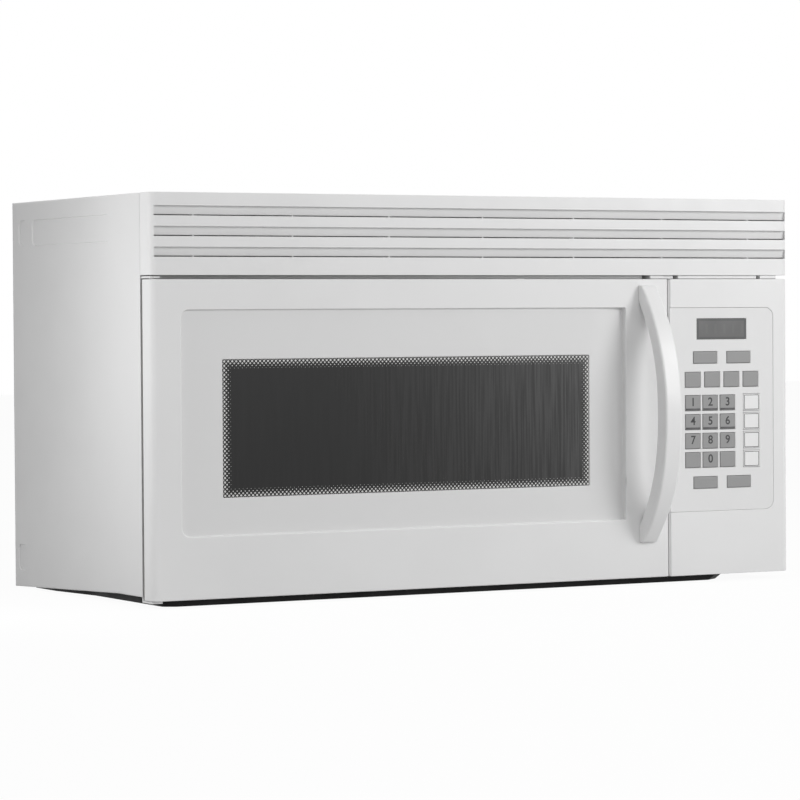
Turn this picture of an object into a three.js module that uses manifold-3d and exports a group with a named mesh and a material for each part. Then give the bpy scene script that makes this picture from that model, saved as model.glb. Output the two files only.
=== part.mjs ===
import * as THREE from 'three';
import { mergeVertices } from 'three/addons/utils/BufferGeometryUtils.js';
import Module from 'manifold-3d';

const wasm = await Module();
wasm.setup();

// An over the range microwave oven, 30-inch class, white, door hinged on the left.
// Millimetres. +X is the user's right, the front faces -Y, +Z is up. The origin is under the
// middle of the whole object, at the height of the flat pan that it rests on.

// ---- Driving dimensions: outside ----
const WIDTH = 759;
const FRONT_HEIGHT = 402;        // door bottom to grille top
const BODY_DEPTH = 350;          // front face to wall
const HANDLE_REACH = 51.5;       // how far the handle bows out in front
const BASE_DROP = 8;             // the pan hangs this far below the door
const SIDE_LIFT = 3;             // the side sheets end this far above the door bottom
const SIDE_FALL = 9.8;           // their lower edge falls this much on its way to the wall
const SIDE_FALL_FROM_FRONT = 85; // and starts to fall here
const SHEET = 1;                 // folded steel sheet
const GAP = 0.3;                 // left between parts that touch
const BITE = 1;                  // joined features run this far into each other, and cuts run past a face
const CORNER_RADIUS = 8;         // vertical front corners

// ---- Door ----
const DOOR_THICKNESS = 21;
const DOOR_BACK_GAP = 2.5;       // door to cabinet
const DOOR_WALL = 3;
const INSET_DEPTH = 3;
const INSET_LEFT = 33;
const INSET_RIGHT = 54.2;
const INSET_BOTTOM = 62.3;
const INSET_TOP = 30.2;
const INSET_RADIUS = 9;
const WINDOW_LEFT = 79.5;
const WINDOW_RIGHT = 98;
const WINDOW_BOTTOM = 99.8;
const WINDOW_TOP = 79.7;
const WINDOW_SETBACK = 0.3;
const WINDOW_FLANGE = 8;
const WINDOW_FLANGE_THICKNESS = 2.5;
const SCREEN_MARGIN = 14;
const LATCH_ZONE = 22.5;         // strip kept free for the latch at the handle side
const COVER_THICKNESS = 1.3;
const COVER_MARGIN = 7;
const COVER_OPENING = 30;        // width of the cover's border

// ---- Handle ----
const HANDLE_WIDTH = 22;
const HANDLE_THICKNESS = 17;   // at the middle of the bow
const HANDLE_FROM_EDGE = 16;     // door's free edge to the handle
const HANDLE_BOTTOM = 38;
const HANDLE_TOP = 6.5;          // handle to the door's top
const HANDLE_END_DEPTH = 5;      // flat cut at each end
const HANDLE_FOOT = 20;          // seated length at each end, beside the finger gap

// ---- Hinges and latch ----
const PIN_FROM_LEFT = 6;
const PIN_FROM_BACK = 12;        // ahead of the door's back face
const PIN_RADIUS = 2.5;
const PIN_REACH = 4;             // beyond the door's wall
const HINGE_PLATE = 2;
const HINGE_WIDTH = 11.5;
const HINGE_LEG = 26;
const HINGE_NOTCH = 14;
const LATCH_FROM_EDGE = 14;      // door's free edge to the hooks
const LATCH_BAR_WIDTH = 8;
const LATCH_BAR_DEPTH = 3;
const HOOK_THICKNESS = 3;
const HOOK_ARM = 10;
const HOOK_LIP = 4;
const HOOK_REACH = 20;           // behind the door
const HOOK_FROM_END = 58;        // door's end to the hook
const LATCH_TRAVEL = 4;
const HOOK_CLEARANCE = 2.5;      // sideways, for the door's swing

// ---- Grille ----
const GRILLE_HEIGHT = 81.5;
const GRILLE_GAP = 4;            // above the door
const GRILLE_WALL = 2.5;
const SLOT_COUNT = 3;
const SLOT_FIRST = 18;           // grille bottom to the first slot
const SLOT_HEIGHT = 9.7;
const SLOT_PITCH = 20.3;
const SLOT_END = 2.6;            // the slots run out through the rounded corners
const LOUVRE_THICKNESS = 1.6;
const LOUVRE_RUN = 3.5;          // how far a louvre slopes back
const LOUVRE_OPENING = 1.6;      // air gap under each louvre
const RIB_PITCH = 110;
const RIB_THICKNESS = 1.6;
const RIB_FOOT = 4;              // rib below the slot, on the back of the bar
const RIB_DEPTH = 5;             // rib behind the louvre

// ---- Control panel ----
const PANEL_WIDTH = 153;
const DOOR_PANEL_GAP = 1.5;
const PANEL_WALL = 3;
const OVERLAY_RECESS = 1.5;
const OVERLAY_BACKING = 2.5;
const OVERLAY_SETBACK = 0.3;
const OVERLAY_RIGHT = 20;
const OVERLAY_TOP = 30.5;
const OVERLAY_HEIGHT = 218;
const OVERLAY_RADIUS = 10;
const DISPLAY_WIDTH = 63.5;
const DISPLAY_HEIGHT = 22;
const DISPLAY_X = 66.3;          // from the panel's left edge to the middle of the display
const DISPLAY_ROW = 22.8;        // below the overlay's top, as for each key row
const KEY_PROUD = 0.5;
const KEY_TRAVEL = 0.4;
const KEY_CLEARANCE = 0.4;
const KEY_FLANGE = 0.8;
const KEY_FLANGE_THICKNESS = 1.2;
const KEY_STEM = 1.2;
const KEY_STEM_WIDTH = 6;
const SWITCH_HEIGHT = 4.3;
const SWITCH_WIDTH = 6;
const BOARD_THICKNESS = 1.6;
const BOARD_SUPPLY = [38, 34, 19];       // wide, high, deep
const BOARD_SUPPLY_LEVEL = 30;           // middle above the board's lower edge
const RELAY = [18, 24, 13];
const RELAY_LEVEL = 75;
const RELAY_PITCH = 26;
const BOARD_MARGIN = 4;
const BOARD_BELOW = 16;          // beyond the overlay, below and above
const BOARD_ABOVE = 10;
const STANDOFF_WIDTH = 7;
const WIDE_KEY = [30.5, 12.5];
const ICON_KEY = [19.8, 16.2];
const DIGIT_KEY = [19.3, 16.3];
const OUTLINE_KEY = [20.8, 17.8];
const WIDE_COLUMN = 45;          // panel's left edge to the first wide key
const WIDE_PITCH = 42.9;
const WIDE_ROW_TOP = 53.4;
const WIDE_ROW_BOTTOM = 187.2;
const ICON_COLUMN = 29.1;
const ICON_PITCH = 24.8;
const ICON_ROW = 77;
const DIGIT_COLUMN = 29;
const DIGIT_PITCH = 22.2;
const DIGIT_ROW = 102;
const ROW_PITCH = 20.3;
const OUTLINE_COLUMN = 104.4;

// ---- Oven cavity and turntable ----
const CAVITY_LEFT = 32;          // cabinet side to the cavity
const CAVITY_RIGHT = 32.5;       // cavity to the door's free edge
const CAVITY_BOTTOM = 35;        // above the door bottom
const CAVITY_TOP = 31.5;         // below the door top
const CAVITY_FROM_BACK = 26.5;   // wall to the cavity's back
const FLANGE_LIFT = 6;           // front flange above the door bottom
const FLANGE_TOP = 2.5;          // front flange below the door top
const WAVEGUIDE = [27, 80, 55];
const WAVEGUIDE_FROM_FRONT = 120;
const WAVEGUIDE_BELOW_TOP = 3;
const WAVEGUIDE_SLOT = 10;
const ANTENNA_RADIUS = 9;
const ANTENNA_LENGTH = 20;
const TRAY_CLEARANCE = 7;        // tray's edge to the nearest wall
const TRAY_SLOPE = 13;           // width of the tray's raised border
const TRAY_THICKNESS = 5;
const TRAY_RIM = 12;
const WHEEL_RADIUS = 7;
const WHEEL_WIDTH = 8;
const TRACK_INSET = 35;          // wheels inside the tray's border
const WHEEL_COUNT = 3;
const AXLE_RADIUS = 1.5;
const RING_HEIGHT = 6;
const RING_BAND = 5;
const SPIDER_INNER = 26;
const ARM_WIDTH = 8;
const COUPLER_RADIUS = 22;
const COUPLER_HUB = 10;
const COUPLER_LOBE = 12;
const SHAFT_RADIUS = 3.5;
const MOTOR_RADIUS = 25;
const MOTOR_HEIGHT = 16;
const LUG_HEIGHT = 4;
const LUG_WIDTH = 6;

// ---- Base pan ----
const PAN_SETBACK = 0.5;         // behind the cabinet's front edge
const PAN_LEFT = 25;
const PAN_LEFT_FLARE = [195, 75]; // widens from this far behind the front to this far before the wall
const PAN_RIGHT = 59;
const PAN_RIGHT_BACK = 64;
const PAN_BACK = 20;
const PAN_CHAMFER = [12, 8];
const PAN_RIGHT_CHAMFER = [25, 20];
const WRAP_FLANGE = 12;
const FILTER_SIZE = [220, 150, 7];
const FILTER_LIP = 5;
const FILTER_TRAVEL = 10;
const FILTER_FROM_LEFT = 50;     // cabinet side to the first filter
const FILTER_SPACING = 64;       // between the filters
const FILTER_FROM_FRONT = 190;   // front face to the filters' middle
const FILTER_RECESS = 1.5;
const FILTER_RIM = 8;
const LENS_SIZE = [50, 38];
const LENS_THICKNESS = 2;
const LENS_FROM_FRONT = 75;

// ---- Right hand bay ----
const MAGNETRON = [80, 78, 62];
const MAGNETRON_FINS = 6;
const FIN_SLOT = 4;
const FIN_DEPTH = 16;
const FILTER_BOX = [26, 46, 40];
const SUPPLY_BOARD = [70, 140];
const SUPPLY_FROM_PANEL = 8;
const SUPPLY_FROM_FRONT = 130;
const SUPPLY_FOOT = 10;
const SUPPLY_FOOT_WIDTH = 7;
const SUPPLY_FOOT_INSET = 6;
const TRANSFORMER = [46, 50, 49];
const TRANSFORMER_AT = [12, -30];        // across and along the board from its middle
const WINDING_RADIUS = 18;
const WINDING_LENGTH = 58;
const SINK_BASE = [30, 46, 3];
const SINK_AT = [-16, 40];
const SINK_FIN = [2, 44, 37];
const SINK_FINS = 5;
const SINK_PITCH = 6;
const LARGE_CAPACITOR = [12, 39];        // radius, height
const LARGE_CAPACITOR_AT = [20, 32];
const SMALL_CAPACITOR = [8, 29];
const SMALL_CAPACITOR_AT = [20, 58];
const FAN_RADIUS = 50;
const FAN_CLEARANCE = 2;
const FAN_HEIGHT = 120;          // fan axis above the door bottom
const FAN_FROM_SIDE = 78;
const SHROUD_SIZE = 116;
const SHROUD_THICKNESS = 2;
const SHROUD_DEPTH = 45;
const POST_WIDTH = 6;
const FAN_MOTOR_RADIUS = 22;
const FAN_MOTOR_LENGTH = 28;
const FAN_SHAFT_RADIUS = 2;
const FAN_HUB_RADIUS = 13;
const FAN_WIDTH = 20;
const FAN_BLADES = 5;
const FAN_BLADE_ROOT = 3;        // blade inside the hub
const FAN_BLADE = [2, 24];       // thick, chord

// ---- Vent blower and outlet ----
const OUTLET = [254, 82.5];      // standard 10 by 3 1/4 inch duct
const OUTLET_FROM_BACK = 12;
const HOUSING_WALL = 1.5;
const HOUSING_MARGIN = 12;
const ROTOR_RADIUS = 35;
const ROTOR_LENGTH = 170;
const ROTOR_BLADES = 12;
const ROTOR_BLADE = [1.2, 8];    // thick, deep
const ROTOR_BLADE_TILT = 0.5;
const ROTOR_RING = 2;
const ROTOR_DISC = 3;
const ROTOR_HUB = [9, 20];       // radius, length
const ROTOR_HEIGHT = 42;         // rotor axis above the housing's floor
const BLOWER_MOTOR_RADIUS = 29;
const BLOWER_MOTOR_LENGTH = 42;
const BLOWER_SHAFT_RADIUS = 3;
const BLOWER_FOOT = [30, 28];
const INLET_RADIUS = 30;
const DAMPER_THICKNESS = 1.5;
const DAMPER_CLEARANCE = 3;
const DAMPER_PIN_RADIUS = 2;
const DAMPER_DEPTH = 7;          // damper pin below the top face
const CORD_HOLE_RADIUS = 19;
const CORD_COLLAR = 3;
const CORD_FROM_RIGHT = 70;
const CORD_FROM_BACK = 60;
const BOLT_HOLE_RADIUS = 5;
const BOLT_FROM_FRONT = 60;
const BOLT_SPREAD = 220;
const BAND_FROM_FRONT = 98;       // stamped band high on each side
const BAND_FROM_BACK = 54;
const BAND_BELOW_TOP = 20;
const BAND_HEIGHT = 26;
const STAMP_SLOT = [17, 20, 20, 25];          // from the back, wide, below the top, high
const STAMP_TAB = [10, 22, 12, 26];           // from the back, wide, above the door bottom, high
const EMBOSS_RADIUS = 6;
const STAMP_DEPTH = 1.2;
const KEYHOLE_SPREAD = 250;
const KEYHOLE_BELOW_TOP = 72;
const KEYHOLE = [12, 24];
const BACK_SLOTS = 6;
const BACK_SLOT = [90, 5];
const BACK_SLOT_PITCH = 15;

// ---- Levels that follow from them ----
const left = -WIDTH / 2;
const right = WIDTH / 2;
const front = HANDLE_REACH - (BODY_DEPTH + HANDLE_REACH) / 2;
const back = front + BODY_DEPTH;
const doorBottom = BASE_DROP;
const top = doorBottom + FRONT_HEIGHT;
const grilleBottom = top - GRILLE_HEIGHT;
const doorTop = grilleBottom - GRILLE_GAP;
const sideBottom = doorBottom + SIDE_LIFT;
const wallBottom = sideBottom - SIDE_FALL;        // the cabinet's lower edge at the wall
const doorBack = front + DOOR_THICKNESS;
const bodyFront = doorBack + DOOR_BACK_GAP;
const wrapBack = back - SHEET - GAP;
const panelLeft = right - PANEL_WIDTH;
const doorRight = panelLeft - DOOR_PANEL_GAP;
const cavityLeft = left + CAVITY_LEFT;
const cavityRight = doorRight - CAVITY_RIGHT;
const cavityFloor = doorBottom + CAVITY_BOTTOM;
const cavityTop = doorTop - CAVITY_TOP;
const cavityBack = back - CAVITY_FROM_BACK;
const trayX = (cavityLeft + cavityRight) / 2;
const trayY = (bodyFront + cavityBack) / 2;
const trayRadius = Math.min(cavityRight - cavityLeft, cavityBack - bodyFront) / 2 - TRAY_CLEARANCE;
const trayFlatRadius = trayRadius - TRAY_SLOPE;
const wheelTrack = trayFlatRadius - TRACK_INSET;
const pinX = left + PIN_FROM_LEFT;
const pinY = doorBack - PIN_FROM_BACK;
const hookX = doorRight - LATCH_FROM_EDGE;
const doorInside = doorBack - COVER_THICKNESS - GAP;   // where the door's hollow ends

// ---- Finishes, as the object shows them ----
const finish = (color, roughness, metalness = 0) => () =>
  new THREE.MeshStandardMaterial({ color, roughness, metalness });
const whitePaint = finish(0xe4e4e3, 0.35);
const whitePlastic = finish(0xececeb, 0.3);
const blackPaint = finish(0x141414, 0.5);
const darkGlass = finish(0x3c3e3f, 0.12);
const greyKey = finish(0x9a9a9a, 0.45);
const whiteKey = finish(0xeeeeee, 0.4);
const steel = finish(0xa9abad, 0.35, 0.9);
const enamel = finish(0xd9d9d4, 0.4);
const aluminium = finish(0xb9bbbd, 0.4, 0.9);
const clearGlass = finish(0xcfdcd9, 0.08);
const greenBoard = finish(0x2e5d3c, 0.6);
const blackPlastic = finish(0x1d1d1e, 0.55);
const greyPlastic = finish(0x8f9193, 0.5);

// ---- Solid helpers ----
function solidFrom(geometry) {
  const plain = geometry.clone();
  plain.deleteAttribute('normal');
  plain.deleteAttribute('uv');
  const welded = mergeVertices(plain, 1e-4);
  return new wasm.Manifold(new wasm.Mesh({
    numProp: 3,
    vertProperties: new Float32Array(welded.attributes.position.array),
    triVerts: new Uint32Array(welded.index.array),
  }));
}

function box(x0, x1, y0, y1, z0, z1) {
  const geometry = new THREE.BoxGeometry(x1 - x0, y1 - y0, z1 - z0);
  geometry.translate((x0 + x1) / 2, (y0 + y1) / 2, (z0 + z1) / 2);
  return solidFrom(geometry);
}

// A box given by its middle and its size.
function block([x, y, z], [width, depth, height]) {
  return box(x - width / 2, x + width / 2, y - depth / 2, y + depth / 2, z - height / 2, z + height / 2);
}

// A flat outline pushed along one axis. Along x it is drawn in (y, z), along y in (x, z).
const AXES = {
  x: [new THREE.Vector3(0, 1, 0), new THREE.Vector3(0, 0, 1), new THREE.Vector3(1, 0, 0)],
  y: [new THREE.Vector3(1, 0, 0), new THREE.Vector3(0, 0, 1), new THREE.Vector3(0, -1, 0)],
  z: [new THREE.Vector3(1, 0, 0), new THREE.Vector3(0, 1, 0), new THREE.Vector3(0, 0, 1)],
};
function prism(axis, shape, from, to, curveSegments = 4) {
  const geometry = new THREE.ExtrudeGeometry(shape, { depth: to - from, bevelEnabled: false, curveSegments });
  geometry.applyMatrix4(new THREE.Matrix4().makeBasis(...AXES[axis]));
  const start = axis === 'y' ? to : from;
  geometry.translate(axis === 'x' ? start : 0, axis === 'y' ? start : 0, axis === 'z' ? start : 0);
  return solidFrom(geometry);
}

function cylinder(axis, [x, y, z], radius, length, sides = 24) {
  const geometry = new THREE.CylinderGeometry(radius, radius, length, sides);
  if (axis === 'x') geometry.rotateZ(Math.PI / 2);
  if (axis === 'z') geometry.rotateX(Math.PI / 2);
  geometry.translate(x, y, z);
  return solidFrom(geometry);
}

// A turned solid about +Z. The closed profile of [radius, height] points runs anticlockwise.
function turned(profile, sides = 48) {
  const points = profile.map(([radius, height]) => new THREE.Vector2(radius, height));
  const geometry = new THREE.LatheGeometry(points, sides);
  geometry.rotateX(Math.PI / 2);
  return solidFrom(geometry);
}

const union = (solids) => solids.reduce((sum, next) => sum.add(next));
const without = (body, cuts) => cuts.reduce((rest, cut) => rest.subtract(cut), body);
const ringOf = (count) => Array.from({ length: count }, (_, i) => (i * 2 * Math.PI) / count);

// A plan outline whose two front corners may be round.
function planOutline(x0, x1, y0, y1, leftRadius, rightRadius) {
  const shape = new THREE.Shape();
  shape.moveTo(x0, y1);
  if (leftRadius > 0) {
    shape.lineTo(x0, y0 + leftRadius);
    shape.absarc(x0 + leftRadius, y0 + leftRadius, leftRadius, Math.PI, 1.5 * Math.PI, false);
  } else {
    shape.lineTo(x0, y0);
  }
  if (rightRadius > 0) {
    shape.lineTo(x1 - rightRadius, y0);
    shape.absarc(x1 - rightRadius, y0 + rightRadius, rightRadius, 1.5 * Math.PI, 2 * Math.PI, false);
  } else {
    shape.lineTo(x1, y0);
  }
  shape.lineTo(x1, y1);
  shape.closePath();
  return shape;
}

// A rectangle with its own corner radius on the left pair and on the right pair.
function roundedRect(x0, x1, y0, y1, leftRadius, rightRadius = leftRadius) {
  const shape = new THREE.Shape();
  const corners = [
    [x0, y0, leftRadius, Math.PI, 1, 1],
    [x1, y0, rightRadius, 1.5 * Math.PI, -1, 1],
    [x1, y1, rightRadius, 0, -1, -1],
    [x0, y1, leftRadius, 0.5 * Math.PI, 1, -1],
  ];
  corners.forEach(([x, y, radius, start, inX, inY], i) => {
    const entry = i % 2 === 0 ? [x, y + inY * radius] : [x + inX * radius, y];
    if (i === 0) shape.moveTo(...entry);
    else shape.lineTo(...entry);
    if (radius > 0) {
      shape.absarc(x + inX * radius, y + inY * radius, radius, start, start + Math.PI / 2, false);
    }
  });
  shape.closePath();
  return shape;
}

function polygon(points) {
  const shape = new THREE.Shape();
  points.forEach(([x, y], i) => (i === 0 ? shape.moveTo(x, y) : shape.lineTo(x, y)));
  shape.closePath();
  return shape;
}

const microwave = new THREE.Group();

function place(name, solid, material, parent = microwave) {
  const data = solid.getMesh();
  const geometry = new THREE.BufferGeometry();
  geometry.setAttribute('position', new THREE.BufferAttribute(new Float32Array(data.vertProperties), 3));
  geometry.setIndex(new THREE.BufferAttribute(new Uint32Array(data.triVerts), 1));
  geometry.computeVertexNormals();
  const mesh = new THREE.Mesh(geometry, material());
  mesh.name = name;
  parent.add(mesh);
  return mesh;
}

// ---- Cabinet ----
const outletY = [back - OUTLET_FROM_BACK - OUTLET[1], back - OUTLET_FROM_BACK];

const stampings = [
  [front + BAND_FROM_FRONT, back - BAND_FROM_BACK, top - BAND_BELOW_TOP - BAND_HEIGHT, top - BAND_BELOW_TOP],
  [back - STAMP_SLOT[0] - STAMP_SLOT[1], back - STAMP_SLOT[0],
    top - STAMP_SLOT[2] - STAMP_SLOT[3], top - STAMP_SLOT[2]],
  [back - STAMP_TAB[0] - STAMP_TAB[1], back - STAMP_TAB[0],
    doorBottom + STAMP_TAB[2], doorBottom + STAMP_TAB[2] + STAMP_TAB[3]],
];

// A shallow stamping in a side sheet, pressed in from outside.
function stamped(body, sideX, inward, [y0, y1, z0, z1]) {
  const outline = (grow) => roundedRect(y0 - grow, y1 + grow, z0 - grow, z1 + grow, EMBOSS_RADIUS + grow);
  const between = (grow, a, b) => prism('x', outline(grow), Math.min(a, b), Math.max(a, b), 2);
  const inside = (depth) => sideX + inward * depth;
  return body.add(between(SHEET, inside(SHEET / 2), inside(STAMP_DEPTH + SHEET)))
    .subtract(between(0, inside(-SHEET), inside(STAMP_DEPTH)));
}

// The folded sheet's section in (x, z): top, two sides and an inward lip under each side.
function wrapSection() {
  const half = (side) => [
    [side * (WIDTH / 2 - WRAP_FLANGE), sideBottom],
    [side * WIDTH / 2, sideBottom],
    [side * WIDTH / 2, top],
  ];
  const inner = (side) => [
    [side * (WIDTH / 2 - SHEET), top - SHEET],
    [side * (WIDTH / 2 - SHEET), sideBottom + SHEET],
    [side * (WIDTH / 2 - WRAP_FLANGE), sideBottom + SHEET],
  ];
  return polygon([...half(1), ...half(-1).reverse(), ...inner(-1).reverse(), ...inner(1)]);
}

// The strip under one side's lip, growing from nothing toward the wall.
function sideSkirt(side) {
  const start = front + SIDE_FALL_FROM_FRONT;
  const shape = polygon([
    [start, sideBottom],
    [wrapBack, wallBottom],
    [wrapBack, sideBottom + SHEET],
    [start, sideBottom + SHEET],
  ]);
  const [from, to] = side < 0 ? [left, left + SHEET] : [right - SHEET, right];
  return prism('x', shape, from, to);
}

function outerWrap() {
  const cordX = right - CORD_FROM_RIGHT;
  const cordY = back - CORD_FROM_BACK;
  const notch = (side) => block([side * (WIDTH / 2 - SHEET - WRAP_FLANGE), bodyFront, sideBottom],
    [2 * WRAP_FLANGE, 2 * HINGE_NOTCH, 4 * SHEET]);
  let body = prism('y', wrapSection(), bodyFront, wrapBack).add(sideSkirt(-1)).add(sideSkirt(1));
  body = body.add(cylinder('z', [cordX, cordY, top - SHEET - CORD_COLLAR / 2], CORD_HOLE_RADIUS + SHEET,
    CORD_COLLAR + SHEET));
  body = without(body, [
    notch(-1),
    notch(1),
    cylinder('z', [cordX, cordY, top], CORD_HOLE_RADIUS, 4 * CORD_COLLAR + 4 * SHEET),
    box(-OUTLET[0] / 2, OUTLET[0] / 2, outletY[0], outletY[1], top - 2 * SHEET, top + SHEET),
    ...[-1, 1].map((side) =>
      cylinder('z', [side * BOLT_SPREAD, front + BOLT_FROM_FRONT, top], BOLT_HOLE_RADIUS, 4 * SHEET, 16)),
  ]);
  for (const [sideX, inward] of [[left, 1], [right, -1]]) {
    for (const stamping of stampings) {
      body = stamped(body, sideX, inward, stamping);
    }
  }
  return body;
}
place('outer_wrap', outerWrap(), whitePaint);

const fanX = right - FAN_FROM_SIDE;
const fanZ = doorBottom + FAN_HEIGHT;

function backPanel() {
  const sheet = box(left, right, back - SHEET, back, wallBottom, top);
  const keyholes = [-1, 1].map((side) => block(
    [side * KEYHOLE_SPREAD, back, top - KEYHOLE_BELOW_TOP], [KEYHOLE[0], 4 * SHEET, KEYHOLE[1]]));
  const firstSlot = fanZ - ((BACK_SLOTS - 1) * BACK_SLOT_PITCH) / 2;
  const slots = Array.from({ length: BACK_SLOTS }, (_, i) =>
    block([fanX, back, firstSlot + i * BACK_SLOT_PITCH], [BACK_SLOT[0], 4 * SHEET, BACK_SLOT[1]]));
  return without(sheet, [...keyholes, ...slots]);
}
place('back_panel', backPanel(), steel);

const panTop = sideBottom + 2 * SHEET + GAP;      // top of the base plate's rim
const filterX = [0, 1].map((i) =>
  left + FILTER_FROM_LEFT + FILTER_SIZE[0] / 2 + i * (FILTER_SIZE[0] + FILTER_SPACING));
const filterY = front + FILTER_FROM_FRONT;
const lensY = front + LENS_FROM_FRONT;

function panOutline(inset) {
  const y0 = bodyFront + PAN_SETBACK + inset;
  const y1 = back - PAN_BACK - inset;
  const flareLeft = left + WRAP_FLANGE + SHEET + GAP + inset;
  const [flareStart, flareEnd] = [front + PAN_LEFT_FLARE[0], back - PAN_LEFT_FLARE[1]];
  return polygon([
    [left + PAN_LEFT + PAN_CHAMFER[0] + inset, y0],
    [right - PAN_RIGHT - PAN_RIGHT_CHAMFER[0] - inset, y0],
    [right - PAN_RIGHT - inset, y0 + PAN_RIGHT_CHAMFER[1]],
    [right - PAN_RIGHT_BACK - inset, y1],
    [flareLeft, y1],
    [flareLeft, flareEnd],
    [left + PAN_LEFT + inset, flareStart],
    [left + PAN_LEFT + inset, y0 + PAN_CHAMFER[1]],
  ]);
}

function basePlate() {
  const rimEdge = SHEET + GAP;
  const rim = box(left + rimEdge, right - rimEdge, bodyFront, wrapBack, panTop - SHEET, panTop);
  const hollow = prism('z', panOutline(SHEET), SHEET, panTop + SHEET);
  const openings = filterX.map((x) =>
    block([x, filterY, SHEET / 2], [FILTER_SIZE[0] - 2 * FILTER_LIP - 2 * FILTER_TRAVEL,
      FILTER_SIZE[1] - 2 * FILTER_LIP, 4 * SHEET]));
  return without(rim.add(prism('z', panOutline(0), 0, panTop)), [
    hollow,
    ...openings,
    block([trayX, lensY, SHEET / 2], [LENS_SIZE[0], LENS_SIZE[1], 4 * SHEET]),
    box(left, left + HINGE_NOTCH, bodyFront - SHEET, bodyFront + HINGE_NOTCH, 0, 2 * panTop),
  ]);
}
place('base_plate', basePlate(), blackPaint);

function greaseFilter() {
  const [width, depth, height] = FILTER_SIZE;
  const frame = block([0, 0, 0], FILTER_SIZE);
  const pocket = [width - 2 * FILTER_RIM - 2 * FILTER_TRAVEL, depth - 2 * FILTER_RIM, height];
  const shift = height - FILTER_RECESS;
  return without(frame, [block([0, 0, -shift], pocket), block([0, 0, shift], pocket)]);
}
const filters = new THREE.Group();
filters.position.set(0, filterY, SHEET + GAP + FILTER_SIZE[2] / 2);
microwave.add(filters);
place('grease_filter_left', greaseFilter(), aluminium, filters).position.x = filterX[0];
place('grease_filter_right', greaseFilter(), aluminium, filters).position.x = filterX[1];

function lampLens() {
  const pad = block([0, 0, SHEET / 2 + GAP / 2],
    [LENS_SIZE[0] - 2 * GAP, LENS_SIZE[1] - 2 * GAP, SHEET + GAP]);
  const flange = block([0, 0, SHEET + GAP + LENS_THICKNESS / 2],
    [LENS_SIZE[0] + FILTER_LIP, LENS_SIZE[1] + FILTER_LIP, LENS_THICKNESS]);
  return pad.add(flange);
}
place('cooktop_lamp_lens', lampLens(), clearGlass).position.set(trayX, lensY, 0);

// ---- Vent grille ----
function ventGrille() {
  const backEdge = bodyFront - GAP;
  const outer = prism('z', planOutline(left, right, front, backEdge, CORNER_RADIUS, CORNER_RADIUS),
    grilleBottom, top);
  const hollow = prism('z', planOutline(left + GRILLE_WALL, right - GRILLE_WALL, front + GRILLE_WALL,
    backEdge + GRILLE_WALL, CORNER_RADIUS - GRILLE_WALL, CORNER_RADIUS - GRILLE_WALL),
    grilleBottom + GRILLE_WALL, top - GRILLE_WALL);
  let shell = outer.subtract(hollow);
  const ribCount = Math.round(WIDTH / RIB_PITCH);
  for (let row = 0; row < SLOT_COUNT; row += 1) {
    const z0 = grilleBottom + SLOT_FIRST + row * SLOT_PITCH;
    const z1 = z0 + SLOT_HEIGHT;
    const louvreFront = front + GRILLE_WALL;
    const louvreBack = louvreFront + LOUVRE_RUN;
    const lowEdge = z0 + LOUVRE_OPENING;
    const louvre = polygon([
      [louvreFront - LOUVRE_THICKNESS, z1 + GRILLE_WALL],
      [louvreFront - LOUVRE_THICKNESS, z1],
      [louvreBack - LOUVRE_THICKNESS, lowEdge],
      [louvreBack, lowEdge],
      [louvreFront, z1 + GRILLE_WALL],
    ]);
    const rib = polygon([
      [louvreFront - LOUVRE_THICKNESS, z0 - RIB_FOOT],
      [louvreFront - LOUVRE_THICKNESS, z0 - RIB_THICKNESS],
      [louvreBack - LOUVRE_THICKNESS, z0],
      [louvreBack - LOUVRE_THICKNESS, z1],
      [louvreBack + RIB_DEPTH, z1],
      [louvreBack + RIB_DEPTH, z0 - RIB_FOOT],
    ]);
    shell = shell.subtract(box(left + SLOT_END, right - SLOT_END, front - 1,
      front + CORNER_RADIUS - GRILLE_WALL, z0, z1));
    shell = shell.add(prism('x', louvre, left + GRILLE_WALL, right - GRILLE_WALL));
    for (let at = 0; at < ribCount; at += 1) {
      const x = (at - (ribCount - 1) / 2) * RIB_PITCH;
      shell = shell.add(prism('x', rib, x - RIB_THICKNESS / 2, x + RIB_THICKNESS / 2));
    }
  }
  return shell;
}
place('vent_grille', ventGrille(), whitePlastic);

// ---- Oven cavity ----
const waveguideX = cavityRight + SHEET + WAVEGUIDE[0];
const waveguideY = [bodyFront + WAVEGUIDE_FROM_FRONT, bodyFront + WAVEGUIDE_FROM_FRONT + WAVEGUIDE[1]];
const waveguideZ = [cavityTop - WAVEGUIDE_BELOW_TOP - WAVEGUIDE[2], cavityTop - WAVEGUIDE_BELOW_TOP];
const hookLevels = [doorBottom + HOOK_FROM_END, doorTop - HOOK_FROM_END];

// The hole a hook passes through: tall enough for its lip and travel.
function hookHole(level, y0, y1, sideRoom) {
  return box(hookX - HOOK_THICKNESS / 2 - sideRoom, hookX + HOOK_THICKNESS / 2 + sideRoom, y0, y1,
    level - HOOK_ARM / 2 - HOOK_LIP - 1, level + HOOK_ARM / 2 + LATCH_TRAVEL + 1);
}

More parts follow.
